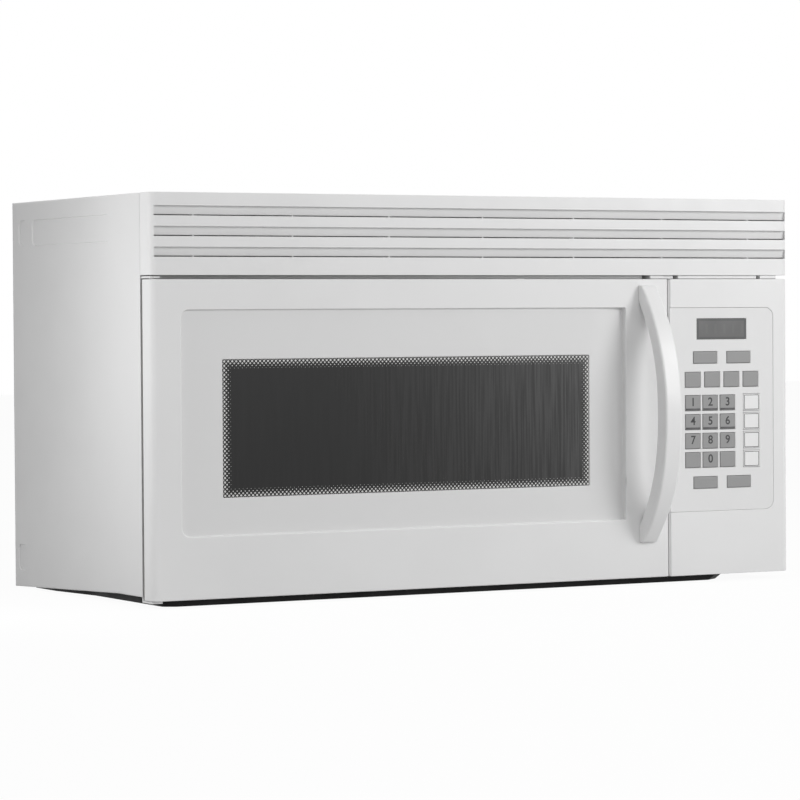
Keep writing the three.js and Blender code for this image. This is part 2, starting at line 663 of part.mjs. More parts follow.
function ovenCavity() {
  const flange = box(left + SHEET + GAP, doorRight - GAP, bodyFront, bodyFront + SHEET,
    doorBottom + FLANGE_LIFT, doorTop - FLANGE_TOP);
  const shell = box(cavityLeft - SHEET, cavityRight + SHEET, bodyFront, cavityBack + SHEET,
    cavityFloor - SHEET, cavityTop + SHEET);
  const waveguide = box(cavityRight, waveguideX, ...waveguideY, ...waveguideZ);
  const hollow = box(cavityLeft, cavityRight, bodyFront - SHEET, cavityBack, cavityFloor, cavityTop);
  const waveguideHollow = box(cavityRight - SHEET, waveguideX - SHEET,
    waveguideY[0] + WAVEGUIDE_SLOT, waveguideY[1] - WAVEGUIDE_SLOT,
    waveguideZ[0] + WAVEGUIDE_SLOT, waveguideZ[1] - WAVEGUIDE_SLOT);
  const antennaHole = cylinder('x', [waveguideX, (waveguideY[0] + waveguideY[1]) / 2,
    (waveguideZ[0] + waveguideZ[1]) / 2], ANTENNA_RADIUS + 1, 4 * SHEET);
  return without(union([flange, shell, waveguide]), [
    hollow,
    waveguideHollow,
    antennaHole,
    cylinder('z', [trayX, trayY, cavityFloor], SHAFT_RADIUS + 1, 6 * SHEET, 16),
    ...hookLevels.map((level) => hookHole(level, bodyFront - SHEET, bodyFront + 2 * SHEET, HOOK_CLEARANCE)),
  ]);
}
place('oven_cavity', ovenCavity(), enamel);

function interlockBracket() {
  const y0 = bodyFront + SHEET + GAP;
  const y1 = y0 + HINGE_PLATE;
  const x0 = cavityRight + SHEET + HOOK_CLEARANCE;
  const x1 = doorRight - SHEET;
  const margin = 2 * HOOK_ARM;
  const plate = box(x0, x1, y0, y1, hookLevels[0] - margin, hookLevels[1] + 2 * margin);
  const switches = hookLevels.map((level) => box(hookX - HOOK_ARM, hookX + HOOK_ARM / 2, y1 - SHEET,
    y1 + HOOK_REACH, level + HOOK_ARM / 2 + LATCH_TRAVEL + 2, level + margin + HOOK_ARM));
  const holes = hookLevels.map((level) => hookHole(level, y0 - SHEET, y1 + SHEET, HOOK_CLEARANCE));
  return without(union([plate, ...switches]), holes);
}
place('interlock_bracket', interlockBracket(), greyPlastic);

// ---- Door ----
const insetBox = {
  x0: left + INSET_LEFT,
  x1: doorRight - INSET_RIGHT,
  z0: doorBottom + INSET_BOTTOM,
  z1: doorTop - INSET_TOP,
};
const windowBox = {
  x0: left + WINDOW_LEFT,
  x1: doorRight - WINDOW_RIGHT,
  z0: doorBottom + WINDOW_BOTTOM,
  z1: doorTop - WINDOW_TOP,
};
const insetFloor = front + INSET_DEPTH;
const insetBack = insetFloor + DOOR_WALL;

function doorFrame() {
  const outer = prism('z', planOutline(left, doorRight, front, doorInside, CORNER_RADIUS, 1),
    doorBottom, doorTop);
  const hollow = prism('z', planOutline(left + DOOR_WALL, doorRight - DOOR_WALL, front + DOOR_WALL,
    doorBack, CORNER_RADIUS - DOOR_WALL, 0), doorBottom + DOOR_WALL, doorTop - DOOR_WALL);
  const pad = prism('y', roundedRect(insetBox.x0 - DOOR_WALL, insetBox.x1 + DOOR_WALL,
    insetBox.z0 - DOOR_WALL, insetBox.z1 + DOOR_WALL, INSET_RADIUS, 0), front + 1, insetBack);
  const inset = prism('y', roundedRect(insetBox.x0, insetBox.x1, insetBox.z0, insetBox.z1,
    INSET_RADIUS, 0), front - 1, insetFloor);
  const pinHole = cylinder('z', [pinX, pinY, (doorBottom + doorTop) / 2], PIN_RADIUS + GAP,
    doorTop - doorBottom + 2, 16);
  return without(outer.subtract(hollow).add(pad), [
    inset,
    box(windowBox.x0, windowBox.x1, front, insetBack + 1, windowBox.z0, windowBox.z1),
    pinHole,
  ]);
}

function doorWindow() {
  const pad = box(windowBox.x0 + GAP, windowBox.x1 - GAP, insetFloor + WINDOW_SETBACK, insetBack + GAP,
    windowBox.z0 + GAP, windowBox.z1 - GAP);
  const flange = box(windowBox.x0 - WINDOW_FLANGE, windowBox.x1 + WINDOW_FLANGE, insetBack + GAP,
    insetBack + GAP + WINDOW_FLANGE_THICKNESS, windowBox.z0 - WINDOW_FLANGE, windowBox.z1 + WINDOW_FLANGE);
  return pad.add(flange);
}

function doorScreen() {
  const y0 = insetBack + WINDOW_FLANGE_THICKNESS + 2 * GAP;
  const x0 = left + SCREEN_MARGIN;
  const x1 = doorRight - LATCH_ZONE;
  const z0 = doorBottom + SCREEN_MARGIN;
  const z1 = doorTop - SCREEN_MARGIN;
  const pan = box(x0, x1, y0, doorInside, z0, z1);
  return pan.subtract(box(x0 + SHEET, x1 - SHEET, y0 + SHEET, doorBack, z0 + SHEET, z1 - SHEET));
}

function doorChokeCover() {
  const y0 = doorBack - COVER_THICKNESS;
  const x0 = left + COVER_MARGIN + PIN_FROM_LEFT;
  const x1 = doorRight - COVER_MARGIN / 2;
  const z0 = doorBottom + COVER_MARGIN;
  const z1 = doorTop - COVER_MARGIN;
  const sheet = box(x0, x1, y0, doorBack, z0, z1);
  const opening = box(x0 + COVER_OPENING, x1 - COVER_OPENING - LATCH_ZONE, y0 - 1, doorBack + 1,
    z0 + COVER_OPENING, z1 - COVER_OPENING);
  return without(sheet, [opening, ...hookLevels.map((level) => hookHole(level, y0 - 1, doorBack + 1, 1))]);
}

// The handle's side view: a flat arc bowed out in front, drawn in (y, z), y negative outward.
const handleLength = doorTop - HANDLE_TOP - doorBottom - HANDLE_BOTTOM;
function bowOutline() {
  const middle = handleLength / 2;
  const outerRise = HANDLE_REACH - HANDLE_END_DEPTH;
  const innerRise = HANDLE_REACH - HANDLE_THICKNESS;
  const outerRadius = (middle ** 2 + outerRise ** 2) / (2 * outerRise);
  const innerHalf = middle - HANDLE_FOOT;
  const innerRadius = (innerHalf ** 2 + innerRise ** 2) / (2 * innerRise);
  const outerAngle = Math.asin(middle / outerRadius);
  const innerAngle = Math.asin(innerHalf / innerRadius);
  const shape = new THREE.Shape();
  shape.moveTo(-GAP, 0);
  shape.lineTo(-GAP, HANDLE_FOOT);
  shape.absarc(innerRadius - innerRise - GAP, middle, innerRadius, Math.PI + innerAngle,
    Math.PI - innerAngle, true);
  shape.lineTo(-GAP, handleLength);
  shape.lineTo(-HANDLE_END_DEPTH, handleLength);
  shape.absarc(outerRadius - HANDLE_REACH, middle, outerRadius, Math.PI - outerAngle,
    Math.PI + outerAngle, false);
  shape.lineTo(-HANDLE_END_DEPTH, 0);
  shape.closePath();
  return shape;
}

const handleX = doorRight - HANDLE_FROM_EDGE - HANDLE_WIDTH;

function doorLatch() {
  const barY = doorInside - LATCH_BAR_DEPTH;
  const bar = box(hookX - LATCH_BAR_WIDTH / 2, hookX + LATCH_BAR_WIDTH / 2, barY, doorInside,
    hookLevels[0] - 2 * HOOK_ARM, hookLevels[1] + 2 * HOOK_ARM);
  const tip = doorBack + HOOK_REACH;
  const hooks = hookLevels.flatMap((level) => [
    box(hookX - HOOK_THICKNESS / 2, hookX + HOOK_THICKNESS / 2, barY, tip,
      level - HOOK_ARM / 2, level + HOOK_ARM / 2),
    box(hookX - HOOK_THICKNESS / 2, hookX + HOOK_THICKNESS / 2, tip - HOOK_LIP, tip,
      level - HOOK_ARM / 2 - HOOK_LIP, level),
  ]);
  return union([bar, ...hooks]);
}

place('door_frame', doorFrame(), whitePlastic);
place('door_window', doorWindow(), darkGlass);
place('door_screen', doorScreen(), blackPaint);
place('door_choke_cover', doorChokeCover(), blackPlastic);
place('door_handle', prism('x', bowOutline(), 0, HANDLE_WIDTH, 18), whitePlastic)
  .position.set(handleX, front, doorBottom + HANDLE_BOTTOM);
place('door_latch', doorLatch(), whitePlastic);

// A hinge: a tongue outside the door's edge with a pin into it, and a leg behind the front flange.
function doorHinge(end, edge) {
  const plateZ = end > 0 ? [edge + SHEET, edge + SHEET + HINGE_PLATE] : [edge - GAP - HINGE_PLATE, edge - GAP];
  const legY = bodyFront + SHEET + GAP;
  const x0 = left + SHEET + GAP;
  const x1 = x0 + HINGE_WIDTH;
  const legEnd = end > 0 ? plateZ[1] - HINGE_LEG : plateZ[0] + HINGE_LEG;
  const pinTip = edge - end * (DOOR_WALL + PIN_REACH);
  const pinRoot = end > 0 ? plateZ[0] + SHEET : plateZ[1] - SHEET;
  return union([
    box(x0, x1, pinY - 2 * PIN_RADIUS, legY + HINGE_PLATE, ...plateZ),
    box(x0, x1, legY, legY + HINGE_PLATE, Math.min(legEnd, plateZ[0]), Math.max(legEnd, plateZ[1])),
    cylinder('z', [pinX, pinY, (pinRoot + pinTip) / 2], PIN_RADIUS, Math.abs(pinRoot - pinTip), 16),
  ]);
}
place('upper_hinge', doorHinge(1, doorTop), whitePaint);
place('lower_hinge', doorHinge(-1, doorBottom), whitePaint);

// ---- Control panel ----
const overlayBox = {
  x0: panelLeft,
  x1: right - OVERLAY_RIGHT,
  z0: doorTop - OVERLAY_TOP - OVERLAY_HEIGHT,
  z1: doorTop - OVERLAY_TOP,
};
const wallBack = front + OVERLAY_RECESS + OVERLAY_BACKING;
const flangeFront = wallBack + GAP;
const stemBack = flangeFront + KEY_FLANGE_THICKNESS + KEY_STEM;
const boardFront = stemBack + KEY_TRAVEL + GAP + SWITCH_HEIGHT;
const displayX = panelLeft + DISPLAY_X;
const displayZ = overlayBox.z1 - DISPLAY_ROW;

const keys = [];
const addKey = (name, x, row, [width, height], material) =>
  keys.push({ name, x: panelLeft + x, z: overlayBox.z1 - row, width, height, material });
for (const [rowName, row] of [['top', WIDE_ROW_TOP], ['bottom', WIDE_ROW_BOTTOM]]) {
  addKey(`key_wide_${rowName}_left`, WIDE_COLUMN, row, WIDE_KEY, greyKey);
  addKey(`key_wide_${rowName}_right`, WIDE_COLUMN + WIDE_PITCH, row, WIDE_KEY, greyKey);
}
for (let i = 0; i < 4; i += 1) {
  addKey(`key_icon_${i + 1}`, ICON_COLUMN + i * ICON_PITCH, ICON_ROW, ICON_KEY, greyKey);
  addKey(`key_outline_${i + 1}`, OUTLINE_COLUMN, DIGIT_ROW + i * ROW_PITCH, OUTLINE_KEY, whiteKey);
}
for (let i = 0; i < 9; i += 1) {
  addKey(`key_digit_${i + 1}`, DIGIT_COLUMN + (i % 3) * DIGIT_PITCH,
    DIGIT_ROW + Math.floor(i / 3) * ROW_PITCH, DIGIT_KEY, greyKey);
}
['key_blank_left', 'key_digit_0', 'key_blank_right'].forEach((name, i) =>
  addKey(name, DIGIT_COLUMN + i * DIGIT_PITCH, DIGIT_ROW + 3 * ROW_PITCH, DIGIT_KEY, greyKey));

// Holes for the keys and the display, right through.
function faceHoles(y0, y1) {
  const holes = keys.map((key) => block([key.x, (y0 + y1) / 2, key.z],
    [key.width + 2 * KEY_CLEARANCE, y1 - y0, key.height + 2 * KEY_CLEARANCE]));
  holes.push(block([displayX, (y0 + y1) / 2, displayZ],
    [DISPLAY_WIDTH + 2 * GAP, y1 - y0, DISPLAY_HEIGHT + 2 * GAP]));
  return holes;
}

const boardBox = {
  x0: panelLeft + PANEL_WALL + BOARD_MARGIN,
  x1: right - PANEL_WALL - BOARD_MARGIN - CORNER_RADIUS,
  z0: overlayBox.z0 - BOARD_BELOW,
  z1: overlayBox.z1 + BOARD_ABOVE,
};

function controlPanel() {
  const backEdge = bodyFront - GAP;
  const outer = prism('z', planOutline(panelLeft, right, front, backEdge, 1, CORNER_RADIUS),
    doorBottom, doorTop);
  const hollow = prism('z', planOutline(panelLeft + PANEL_WALL, right - PANEL_WALL, front + PANEL_WALL,
    backEdge + 1, 0, CORNER_RADIUS - PANEL_WALL), doorBottom + PANEL_WALL, doorTop - PANEL_WALL);
  const pad = box(overlayBox.x0 + 1, overlayBox.x1 + PANEL_WALL, front + 1, wallBack,
    overlayBox.z0 - PANEL_WALL, overlayBox.z1 + PANEL_WALL);
  const half = STANDOFF_WIDTH / 2;
  const standoffs = [boardBox.x0 + half, boardBox.x1 - half].flatMap((x) =>
    [boardBox.z0 + half, boardBox.z1 - half].map((z) =>
      box(x - half, x + half, front + 1, boardFront - GAP, z - half, z + half)));
  const recess = prism('y', roundedRect(overlayBox.x0 - 1, overlayBox.x1, overlayBox.z0, overlayBox.z1,
    0, OVERLAY_RADIUS), front - 1, front + OVERLAY_RECESS);
  return without(union([outer.subtract(hollow), pad, ...standoffs]), [
    recess,
    ...faceHoles(front, wallBack + 1),
  ]);
}
place('control_panel', controlPanel(), whitePlastic);

function keypadOverlay() {
  const sheet = prism('y', roundedRect(overlayBox.x0, overlayBox.x1 - GAP, overlayBox.z0 + GAP,
    overlayBox.z1 - GAP, 0, OVERLAY_RADIUS - GAP), front + OVERLAY_SETBACK, front + OVERLAY_RECESS - GAP);
  return without(sheet, faceHoles(front - 1, wallBack));
}
place('keypad_overlay', keypadOverlay(), whitePlastic);

function displayWindow() {
  const depth = flangeFront - (front + OVERLAY_SETBACK);
  const pad = block([0, depth / 2, 0], [DISPLAY_WIDTH, depth, DISPLAY_HEIGHT]);
  const flange = block([0, depth + KEY_FLANGE_THICKNESS / 2, 0],
    [DISPLAY_WIDTH + 4 * KEY_FLANGE, KEY_FLANGE_THICKNESS, DISPLAY_HEIGHT + 4 * KEY_FLANGE]);
  return pad.add(flange);
}
place('display_window', displayWindow(), darkGlass).position.set(displayX, front + OVERLAY_SETBACK, displayZ);

// A key: its cap stands a little proud, a flange behind the wall keeps it in, a stem meets its switch.
function keySolid(width, height) {
  const capDepth = flangeFront - (front + OVERLAY_SETBACK - KEY_PROUD);
  const flangeBack = capDepth + KEY_FLANGE_THICKNESS;
  return union([
    block([0, capDepth / 2, 0], [width, capDepth, height]),
    block([0, capDepth + KEY_FLANGE_THICKNESS / 2, 0],
      [width + 2 * KEY_FLANGE, KEY_FLANGE_THICKNESS, height + 2 * KEY_FLANGE]),
    block([0, flangeBack + KEY_STEM / 2, 0], [KEY_STEM_WIDTH, KEY_STEM, KEY_STEM_WIDTH]),
  ]);
}
const keypad = new THREE.Group();
keypad.position.y = front + OVERLAY_SETBACK - KEY_PROUD;
microwave.add(keypad);
for (const key of keys) {
  place(key.name, keySolid(key.width, key.height), key.material, keypad).position.set(key.x, 0, key.z);
}

function controlBoard() {
  const boardBack = boardFront + BOARD_THICKNESS;
  const board = box(boardBox.x0, boardBox.x1, boardFront, boardBack, boardBox.z0, boardBox.z1);
  const switches = keys.map((key) => block([key.x, boardFront - SWITCH_HEIGHT / 2 + GAP / 2, key.z],
    [SWITCH_WIDTH, SWITCH_HEIGHT + GAP, SWITCH_WIDTH]));
  const displayModule = block([displayX, boardFront - SWITCH_HEIGHT / 2, displayZ],
    [DISPLAY_WIDTH, SWITCH_HEIGHT, DISPLAY_HEIGHT]);
  const middle = (boardBox.x0 + boardBox.x1) / 2;
  const behind = (x, level, [width, height, depth]) => box(x - width / 2, x + width / 2,
    boardBack - BITE, boardBack + depth, boardBox.z0 + level - height / 2, boardBox.z0 + level + height / 2);
  const relays = [-1, 0, 1].map((i) => behind(middle + i * RELAY_PITCH, RELAY_LEVEL, RELAY));
  return union([
    board,
    ...switches,
    displayModule,
    behind(middle, BOARD_SUPPLY_LEVEL, BOARD_SUPPLY),
    ...relays,
  ]);
}
place('control_board', controlBoard(), greenBoard);

// ---- Turntable ----
const turntable = new THREE.Group();
turntable.position.set(trayX, trayY, cavityFloor);
microwave.add(turntable);
const wheelLevel = WHEEL_RADIUS + GAP;
const trayLevel = 2 * WHEEL_RADIUS + 2 * GAP;

function turntableMotor() {
  const canTop = -SHEET - GAP;
  return union([
    cylinder('z', [0, 0, canTop - MOTOR_HEIGHT / 2], MOTOR_RADIUS, MOTOR_HEIGHT),
    cylinder('z', [0, 0, (canTop + trayLevel - TRAY_THICKNESS) / 2], SHAFT_RADIUS,
      trayLevel - TRAY_THICKNESS - canTop + 1, 16),
  ]);
}
place('turntable_motor', turntableMotor(), steel, turntable);

function turntableCoupler() {
  const topLevel = trayLevel - GAP;
  const lobes = ringOf(WHEEL_COUNT).map((angle) => {
    const arm = new THREE.BoxGeometry(COUPLER_RADIUS, COUPLER_LOBE, topLevel - wheelLevel);
    arm.translate(COUPLER_RADIUS / 2, 0, (topLevel + wheelLevel) / 2);
    arm.rotateZ(angle);
    return solidFrom(arm);
  });
  const hub = cylinder('z', [0, 0, (GAP + topLevel) / 2], COUPLER_HUB, topLevel - GAP);
  const bore = cylinder('z', [0, 0, 0], SHAFT_RADIUS + GAP, 2 * (trayLevel - TRAY_THICKNESS + 1 + GAP), 16);
  return union([hub, ...lobes]).subtract(bore);
}
place('turntable_coupler', turntableCoupler(), whitePlastic, turntable);

function rollerRing() {
  const half = RING_HEIGHT / 2;
  const band = (inner, outer) => turned([[inner, -half], [outer, -half], [outer, half], [inner, half],
    [inner, -half]], 24);
  const bandInner = wheelTrack - WHEEL_WIDTH / 2 - GAP - RING_BAND;
  const arms = ringOf(WHEEL_COUNT).map((angle) => {
    const arm = new THREE.BoxGeometry(bandInner - SPIDER_INNER, ARM_WIDTH, RING_HEIGHT);
    arm.translate((bandInner + SPIDER_INNER) / 2 + 1, 0, 0);
    arm.rotateZ(angle);
    return solidFrom(arm);
  });
  const axles = ringOf(WHEEL_COUNT).map((angle) => {
    const length = RING_BAND / 2 + WHEEL_WIDTH + 2 * GAP + 1;
    const axle = new THREE.CylinderGeometry(AXLE_RADIUS, AXLE_RADIUS, length, 12);
    axle.rotateZ(Math.PI / 2);
    axle.translate(bandInner + RING_BAND / 2 + length / 2, 0, 0);
    axle.rotateZ(angle);
    return solidFrom(axle);
  });
  return union([band(SPIDER_INNER, SPIDER_INNER + RING_BAND), band(bandInner, bandInner + RING_BAND),
    ...arms, ...axles]);
}
place('roller_ring', rollerRing(), whitePlastic, turntable).position.z = wheelLevel;

ringOf(WHEEL_COUNT).forEach((angle, i) => {
  const bore = AXLE_RADIUS + GAP;
  const half = WHEEL_WIDTH / 2;
  const wheel = turned([[bore, -half], [WHEEL_RADIUS, -half], [WHEEL_RADIUS, half], [bore, half],
    [bore, -half]], 16);
  const mesh = place(`roller_wheel_${i + 1}`, wheel, whitePlastic, turntable);
  mesh.position.set(wheelTrack * Math.cos(angle), wheelTrack * Math.sin(angle), wheelLevel);
  mesh.rotation.set(0, Math.PI / 2, angle, 'ZYX');
});

function glassTray() {
  const plate = turned([[0, 0], [trayFlatRadius, 0], [trayRadius, TRAY_RIM - TRAY_THICKNESS],
    [trayRadius, TRAY_RIM], [trayFlatRadius, TRAY_THICKNESS], [0, TRAY_THICKNESS]]);
  const lugs = ringOf(WHEEL_COUNT).map((angle) => {
    const lug = new THREE.BoxGeometry(LUG_WIDTH, LUG_WIDTH, LUG_HEIGHT + 1);
    lug.translate(COUPLER_HUB + GAP + LUG_WIDTH, 0, (1 - LUG_HEIGHT) / 2);
    lug.rotateZ(angle + Math.PI / WHEEL_COUNT);
    return solidFrom(lug);
  });
  return union([plate, ...lugs]);
}
place('glass_tray', glassTray(), clearGlass, turntable).position.z = trayLevel;

// ---- Right hand bay ----
function magnetron() {
  const [width, depth, height] = MAGNETRON;
  const finArea = width - 2 * FIN_SLOT;
  const pitch = finArea / MAGNETRON_FINS;
  const slots = Array.from({ length: MAGNETRON_FINS }, (_, i) => {
    const x = FIN_SLOT + pitch * (i + 0.5);
    return [-1, 1].map((side) => block([x, side * depth / 2, 0], [FIN_SLOT, 2 * FIN_DEPTH, height - 2 * FIN_SLOT]));
  }).flat();
  const body = without(block([width / 2, 0, 0], MAGNETRON), slots);
  return union([
    body,
    cylinder('x', [BITE - ANTENNA_LENGTH / 2, 0, 0], ANTENNA_RADIUS, ANTENNA_LENGTH + 2 * BITE),
    block([width + FILTER_BOX[0] / 2 - BITE, 0, 0], FILTER_BOX),
  ]);
}
place('magnetron', magnetron(), aluminium).position.set(waveguideX + GAP,
  (waveguideY[0] + waveguideY[1]) / 2, (waveguideZ[0] + waveguideZ[1]) / 2);

function inverterSupply() {
  const [width, depth] = SUPPLY_BOARD;
  const boardTop = SUPPLY_FOOT + BOARD_THICKNESS;
  const standing = ([x, y], [w, d, h]) => block([x, y, boardTop + (h - BITE) / 2], [w, d, h + BITE]);
  const can = ([x, y], [radius, height]) =>
    cylinder('z', [x, y, boardTop + (height - BITE) / 2], radius, height + BITE, 20);
  const feet = [-1, 1].flatMap((sx) => [-1, 1].map((sy) => block(
    [sx * (width / 2 - SUPPLY_FOOT_INSET), sy * (depth / 2 - SUPPLY_FOOT_INSET), (SUPPLY_FOOT + BITE) / 2],
    [SUPPLY_FOOT_WIDTH, SUPPLY_FOOT_WIDTH, SUPPLY_FOOT + BITE])));
  const fins = Array.from({ length: SINK_FINS }, (_, i) =>
    standing([SINK_AT[0] + (i - (SINK_FINS - 1) / 2) * SINK_PITCH, SINK_AT[1]], SINK_FIN));
  return union([
    block([0, 0, SUPPLY_FOOT + BOARD_THICKNESS / 2], [width, depth, BOARD_THICKNESS]),
    ...feet,
    standing(TRANSFORMER_AT, TRANSFORMER),
    cylinder('z', [...TRANSFORMER_AT, boardTop + (TRANSFORMER[2] - BITE) / 2], WINDING_RADIUS,
      WINDING_LENGTH),
    standing(SINK_AT, SINK_BASE),
    ...fins,
    can(LARGE_CAPACITOR_AT, LARGE_CAPACITOR),
    can(SMALL_CAPACITOR_AT, SMALL_CAPACITOR),
  ]);
}
place('inverter_supply', inverterSupply(), greenBoard).position.set(
  panelLeft + SUPPLY_FROM_PANEL + SUPPLY_BOARD[0] / 2, front + SUPPLY_FROM_FRONT + SUPPLY_BOARD[1] / 2,
  SHEET + GAP);

const fanUnit = new THREE.Group();
fanUnit.position.set(fanX, back - SHEET - GAP, fanZ);
microwave.add(fanUnit);

function fanShroud() {
  const half = SHROUD_SIZE / 2;
  const strapY = -SHROUD_DEPTH;
  const plate = block([0, -SHROUD_THICKNESS / 2, 0], [SHROUD_SIZE, SHROUD_THICKNESS, SHROUD_SIZE]);
  const opening = cylinder('y', [0, 0, 0], FAN_RADIUS + FAN_CLEARANCE, 4 * SHROUD_THICKNESS, 36);
  const corner = half - POST_WIDTH / 2;
  const posts = [-1, 1].map((side) => box(side * corner - POST_WIDTH / 2, side * corner + POST_WIDTH / 2,
    strapY, -SHROUD_THICKNESS + 1, -POST_WIDTH / 2, POST_WIDTH / 2));
  const strap = box(-half, half, strapY - SHROUD_THICKNESS, strapY, -POST_WIDTH, POST_WIDTH);
  const can = cylinder('y', [0, strapY - FAN_MOTOR_LENGTH / 2, 0], FAN_MOTOR_RADIUS, FAN_MOTOR_LENGTH);
  const shaftLength = (SHROUD_DEPTH + FAN_WIDTH) / 2 + FAN_CLEARANCE;
  const shaft = cylinder('y', [0, strapY + shaftLength / 2 - 1, 0], FAN_SHAFT_RADIUS, shaftLength, 12);
  return union([plate.subtract(opening), ...posts, strap, can, shaft]);
}
place('fan_shroud', fanShroud(), steel, fanUnit);

function coolingFan() {
  const blades = ringOf(FAN_BLADES).map((angle) => {
    const span = FAN_RADIUS - FAN_HUB_RADIUS + FAN_BLADE_ROOT;
    const blade = new THREE.BoxGeometry(span, ...FAN_BLADE);
    blade.rotateX(Math.PI / 4);
    blade.translate(FAN_RADIUS - span / 2, 0, 0);
    blade.rotateY(angle);
    return solidFrom(blade);
  });
  const hub = cylinder('y', [0, 0, 0], FAN_HUB_RADIUS, FAN_WIDTH);
  return union([hub, ...blades]).subtract(cylinder('y', [0, 0, 0], FAN_SHAFT_RADIUS + GAP, 2 * FAN_WIDTH, 16));
}
place('cooling_fan', coolingFan(), blackPlastic, fanUnit).position.y = -SHROUD_DEPTH / 2;

// ---- Vent blower ----
const housingBottom = cavityTop + SHEET + GAP;
const housingTop = top - SHEET - GAP;
const housingX = OUTLET[0] / 2 + HOUSING_MARGIN;
const housingY = [outletY[0] - DAMPER_CLEARANCE, outletY[1] + DAMPER_CLEARANCE];
const rotorY = (outletY[0] + outletY[1]) / 2;
const rotorZ = housingBottom + ROTOR_HEIGHT;
const damperPinY = outletY[1] - DAMPER_CLEARANCE - DAMPER_PIN_RADIUS;
const damperPinZ = top - DAMPER_DEPTH;
const motorBack = housingX - HOUSING_WALL - GAP;

function blowerHousing() {
  const shell = box(-housingX, housingX, ...housingY, housingBottom, housingTop);
  const hollow = box(-housingX + HOUSING_WALL, housingX - HOUSING_WALL, housingY[0] + HOUSING_WALL,
    housingY[1] - HOUSING_WALL, housingBottom + HOUSING_WALL, housingTop - HOUSING_WALL);
  const outlet = box(-OUTLET[0] / 2, OUTLET[0] / 2, outletY[0], outletY[1],
    housingTop - 2 * HOUSING_WALL, housingTop + 1);
  return without(shell, [
    hollow,
    outlet,
    cylinder('x', [-housingX, rotorY, rotorZ], INLET_RADIUS, 6 * HOUSING_WALL),
    cylinder('x', [0, damperPinY, damperPinZ], DAMPER_PIN_RADIUS + GAP, 2 * housingX + 2, 16),
  ]);
}
place('blower_housing', blowerHousing(), steel);

const blower = new THREE.Group();
blower.position.set(0, rotorY, rotorZ);
microwave.add(blower);
const motorFront = motorBack - BLOWER_MOTOR_LENGTH;
const rotorEnd = motorFront - 4 * GAP - DAMPER_CLEARANCE;

function blowerMotor() {
  const shaftEnd = rotorEnd - ROTOR_LENGTH;
  const foot = ROTOR_HEIGHT - HOUSING_WALL - GAP;
  return union([
    cylinder('x', [(motorFront + motorBack) / 2, 0, 0], BLOWER_MOTOR_RADIUS, BLOWER_MOTOR_LENGTH),
    cylinder('x', [(shaftEnd + motorFront) / 2 + BITE, 0, 0], BLOWER_SHAFT_RADIUS,
      motorFront - shaftEnd + 2 * BITE, 12),
    block([(motorFront + motorBack) / 2, 0, -foot / 2], [...BLOWER_FOOT, foot]),
  ]);
}
place('blower_motor', blowerMotor(), steel, blower);

function blowerRotor() {
  const ringX = (ROTOR_LENGTH - ROTOR_RING) / 2;
  const depth = ROTOR_BLADE[1];
  const blades = ringOf(ROTOR_BLADES).map((angle) => {
    const blade = new THREE.BoxGeometry(ROTOR_LENGTH, ...ROTOR_BLADE);
    blade.rotateX(ROTOR_BLADE_TILT);
    blade.translate(0, 0, ROTOR_RADIUS - depth / 2 - BITE);
    blade.rotateX(angle);
    return solidFrom(blade);
  });
  const endRing = (x) => cylinder('x', [x, 0, 0], ROTOR_RADIUS, ROTOR_RING)
    .subtract(cylinder('x', [x, 0, 0], ROTOR_RADIUS - depth - BITE, 2 * ROTOR_RING));
  const disc = cylinder('x', [0, 0, 0], ROTOR_RADIUS - BITE, ROTOR_DISC);
  const hub = cylinder('x', [0, 0, 0], ...ROTOR_HUB);
  return union([disc, hub, endRing(-ringX), endRing(ringX), ...blades])
    .subtract(cylinder('x', [0, 0, 0], BLOWER_SHAFT_RADIUS + GAP, 2 * ROTOR_LENGTH, 16));
}
place('blower_rotor', blowerRotor(), aluminium, blower).position.x = rotorEnd - ROTOR_LENGTH / 2;

function exhaustDamper() {
  const width = OUTLET[0] - 2 * DAMPER_CLEARANCE;
  const reach = OUTLET[1] - 2 * DAMPER_CLEARANCE - DAMPER_PIN_RADIUS;
  const pinLength = 2 * (housingX - GAP);
  return union([
    box(-width / 2, width / 2, -reach, 0, -DAMPER_THICKNESS / 2, DAMPER_THICKNESS / 2),
    cylinder('x', [0, 0, 0], DAMPER_PIN_RADIUS, pinLength, 16),
  ]);
}
place('exhaust_damper', exhaustDamper(), aluminium).position.set(0, damperPinY, damperPinZ);

export default microwave;
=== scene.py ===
import math
import bpy
import bmesh
from mathutils import Matrix, Vector


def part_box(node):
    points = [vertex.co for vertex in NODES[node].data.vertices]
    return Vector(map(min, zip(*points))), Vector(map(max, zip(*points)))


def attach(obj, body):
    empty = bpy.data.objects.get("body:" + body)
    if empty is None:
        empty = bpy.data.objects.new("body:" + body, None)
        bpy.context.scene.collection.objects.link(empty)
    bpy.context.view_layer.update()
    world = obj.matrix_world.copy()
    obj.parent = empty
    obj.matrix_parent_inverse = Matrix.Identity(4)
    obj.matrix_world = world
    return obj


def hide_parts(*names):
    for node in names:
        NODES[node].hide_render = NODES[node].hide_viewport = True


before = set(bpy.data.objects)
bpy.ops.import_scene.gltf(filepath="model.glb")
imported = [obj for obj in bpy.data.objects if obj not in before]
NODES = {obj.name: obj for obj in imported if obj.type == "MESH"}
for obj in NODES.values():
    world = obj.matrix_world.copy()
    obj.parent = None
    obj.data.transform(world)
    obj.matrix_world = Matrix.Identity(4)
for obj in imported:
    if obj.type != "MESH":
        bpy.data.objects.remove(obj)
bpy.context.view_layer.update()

# An over the range microwave oven, white, with its door hinged on the left.
# The helpers take millimetres and Blender gets metres. +X is the user's right, the front faces -Y.
MM = 0.001

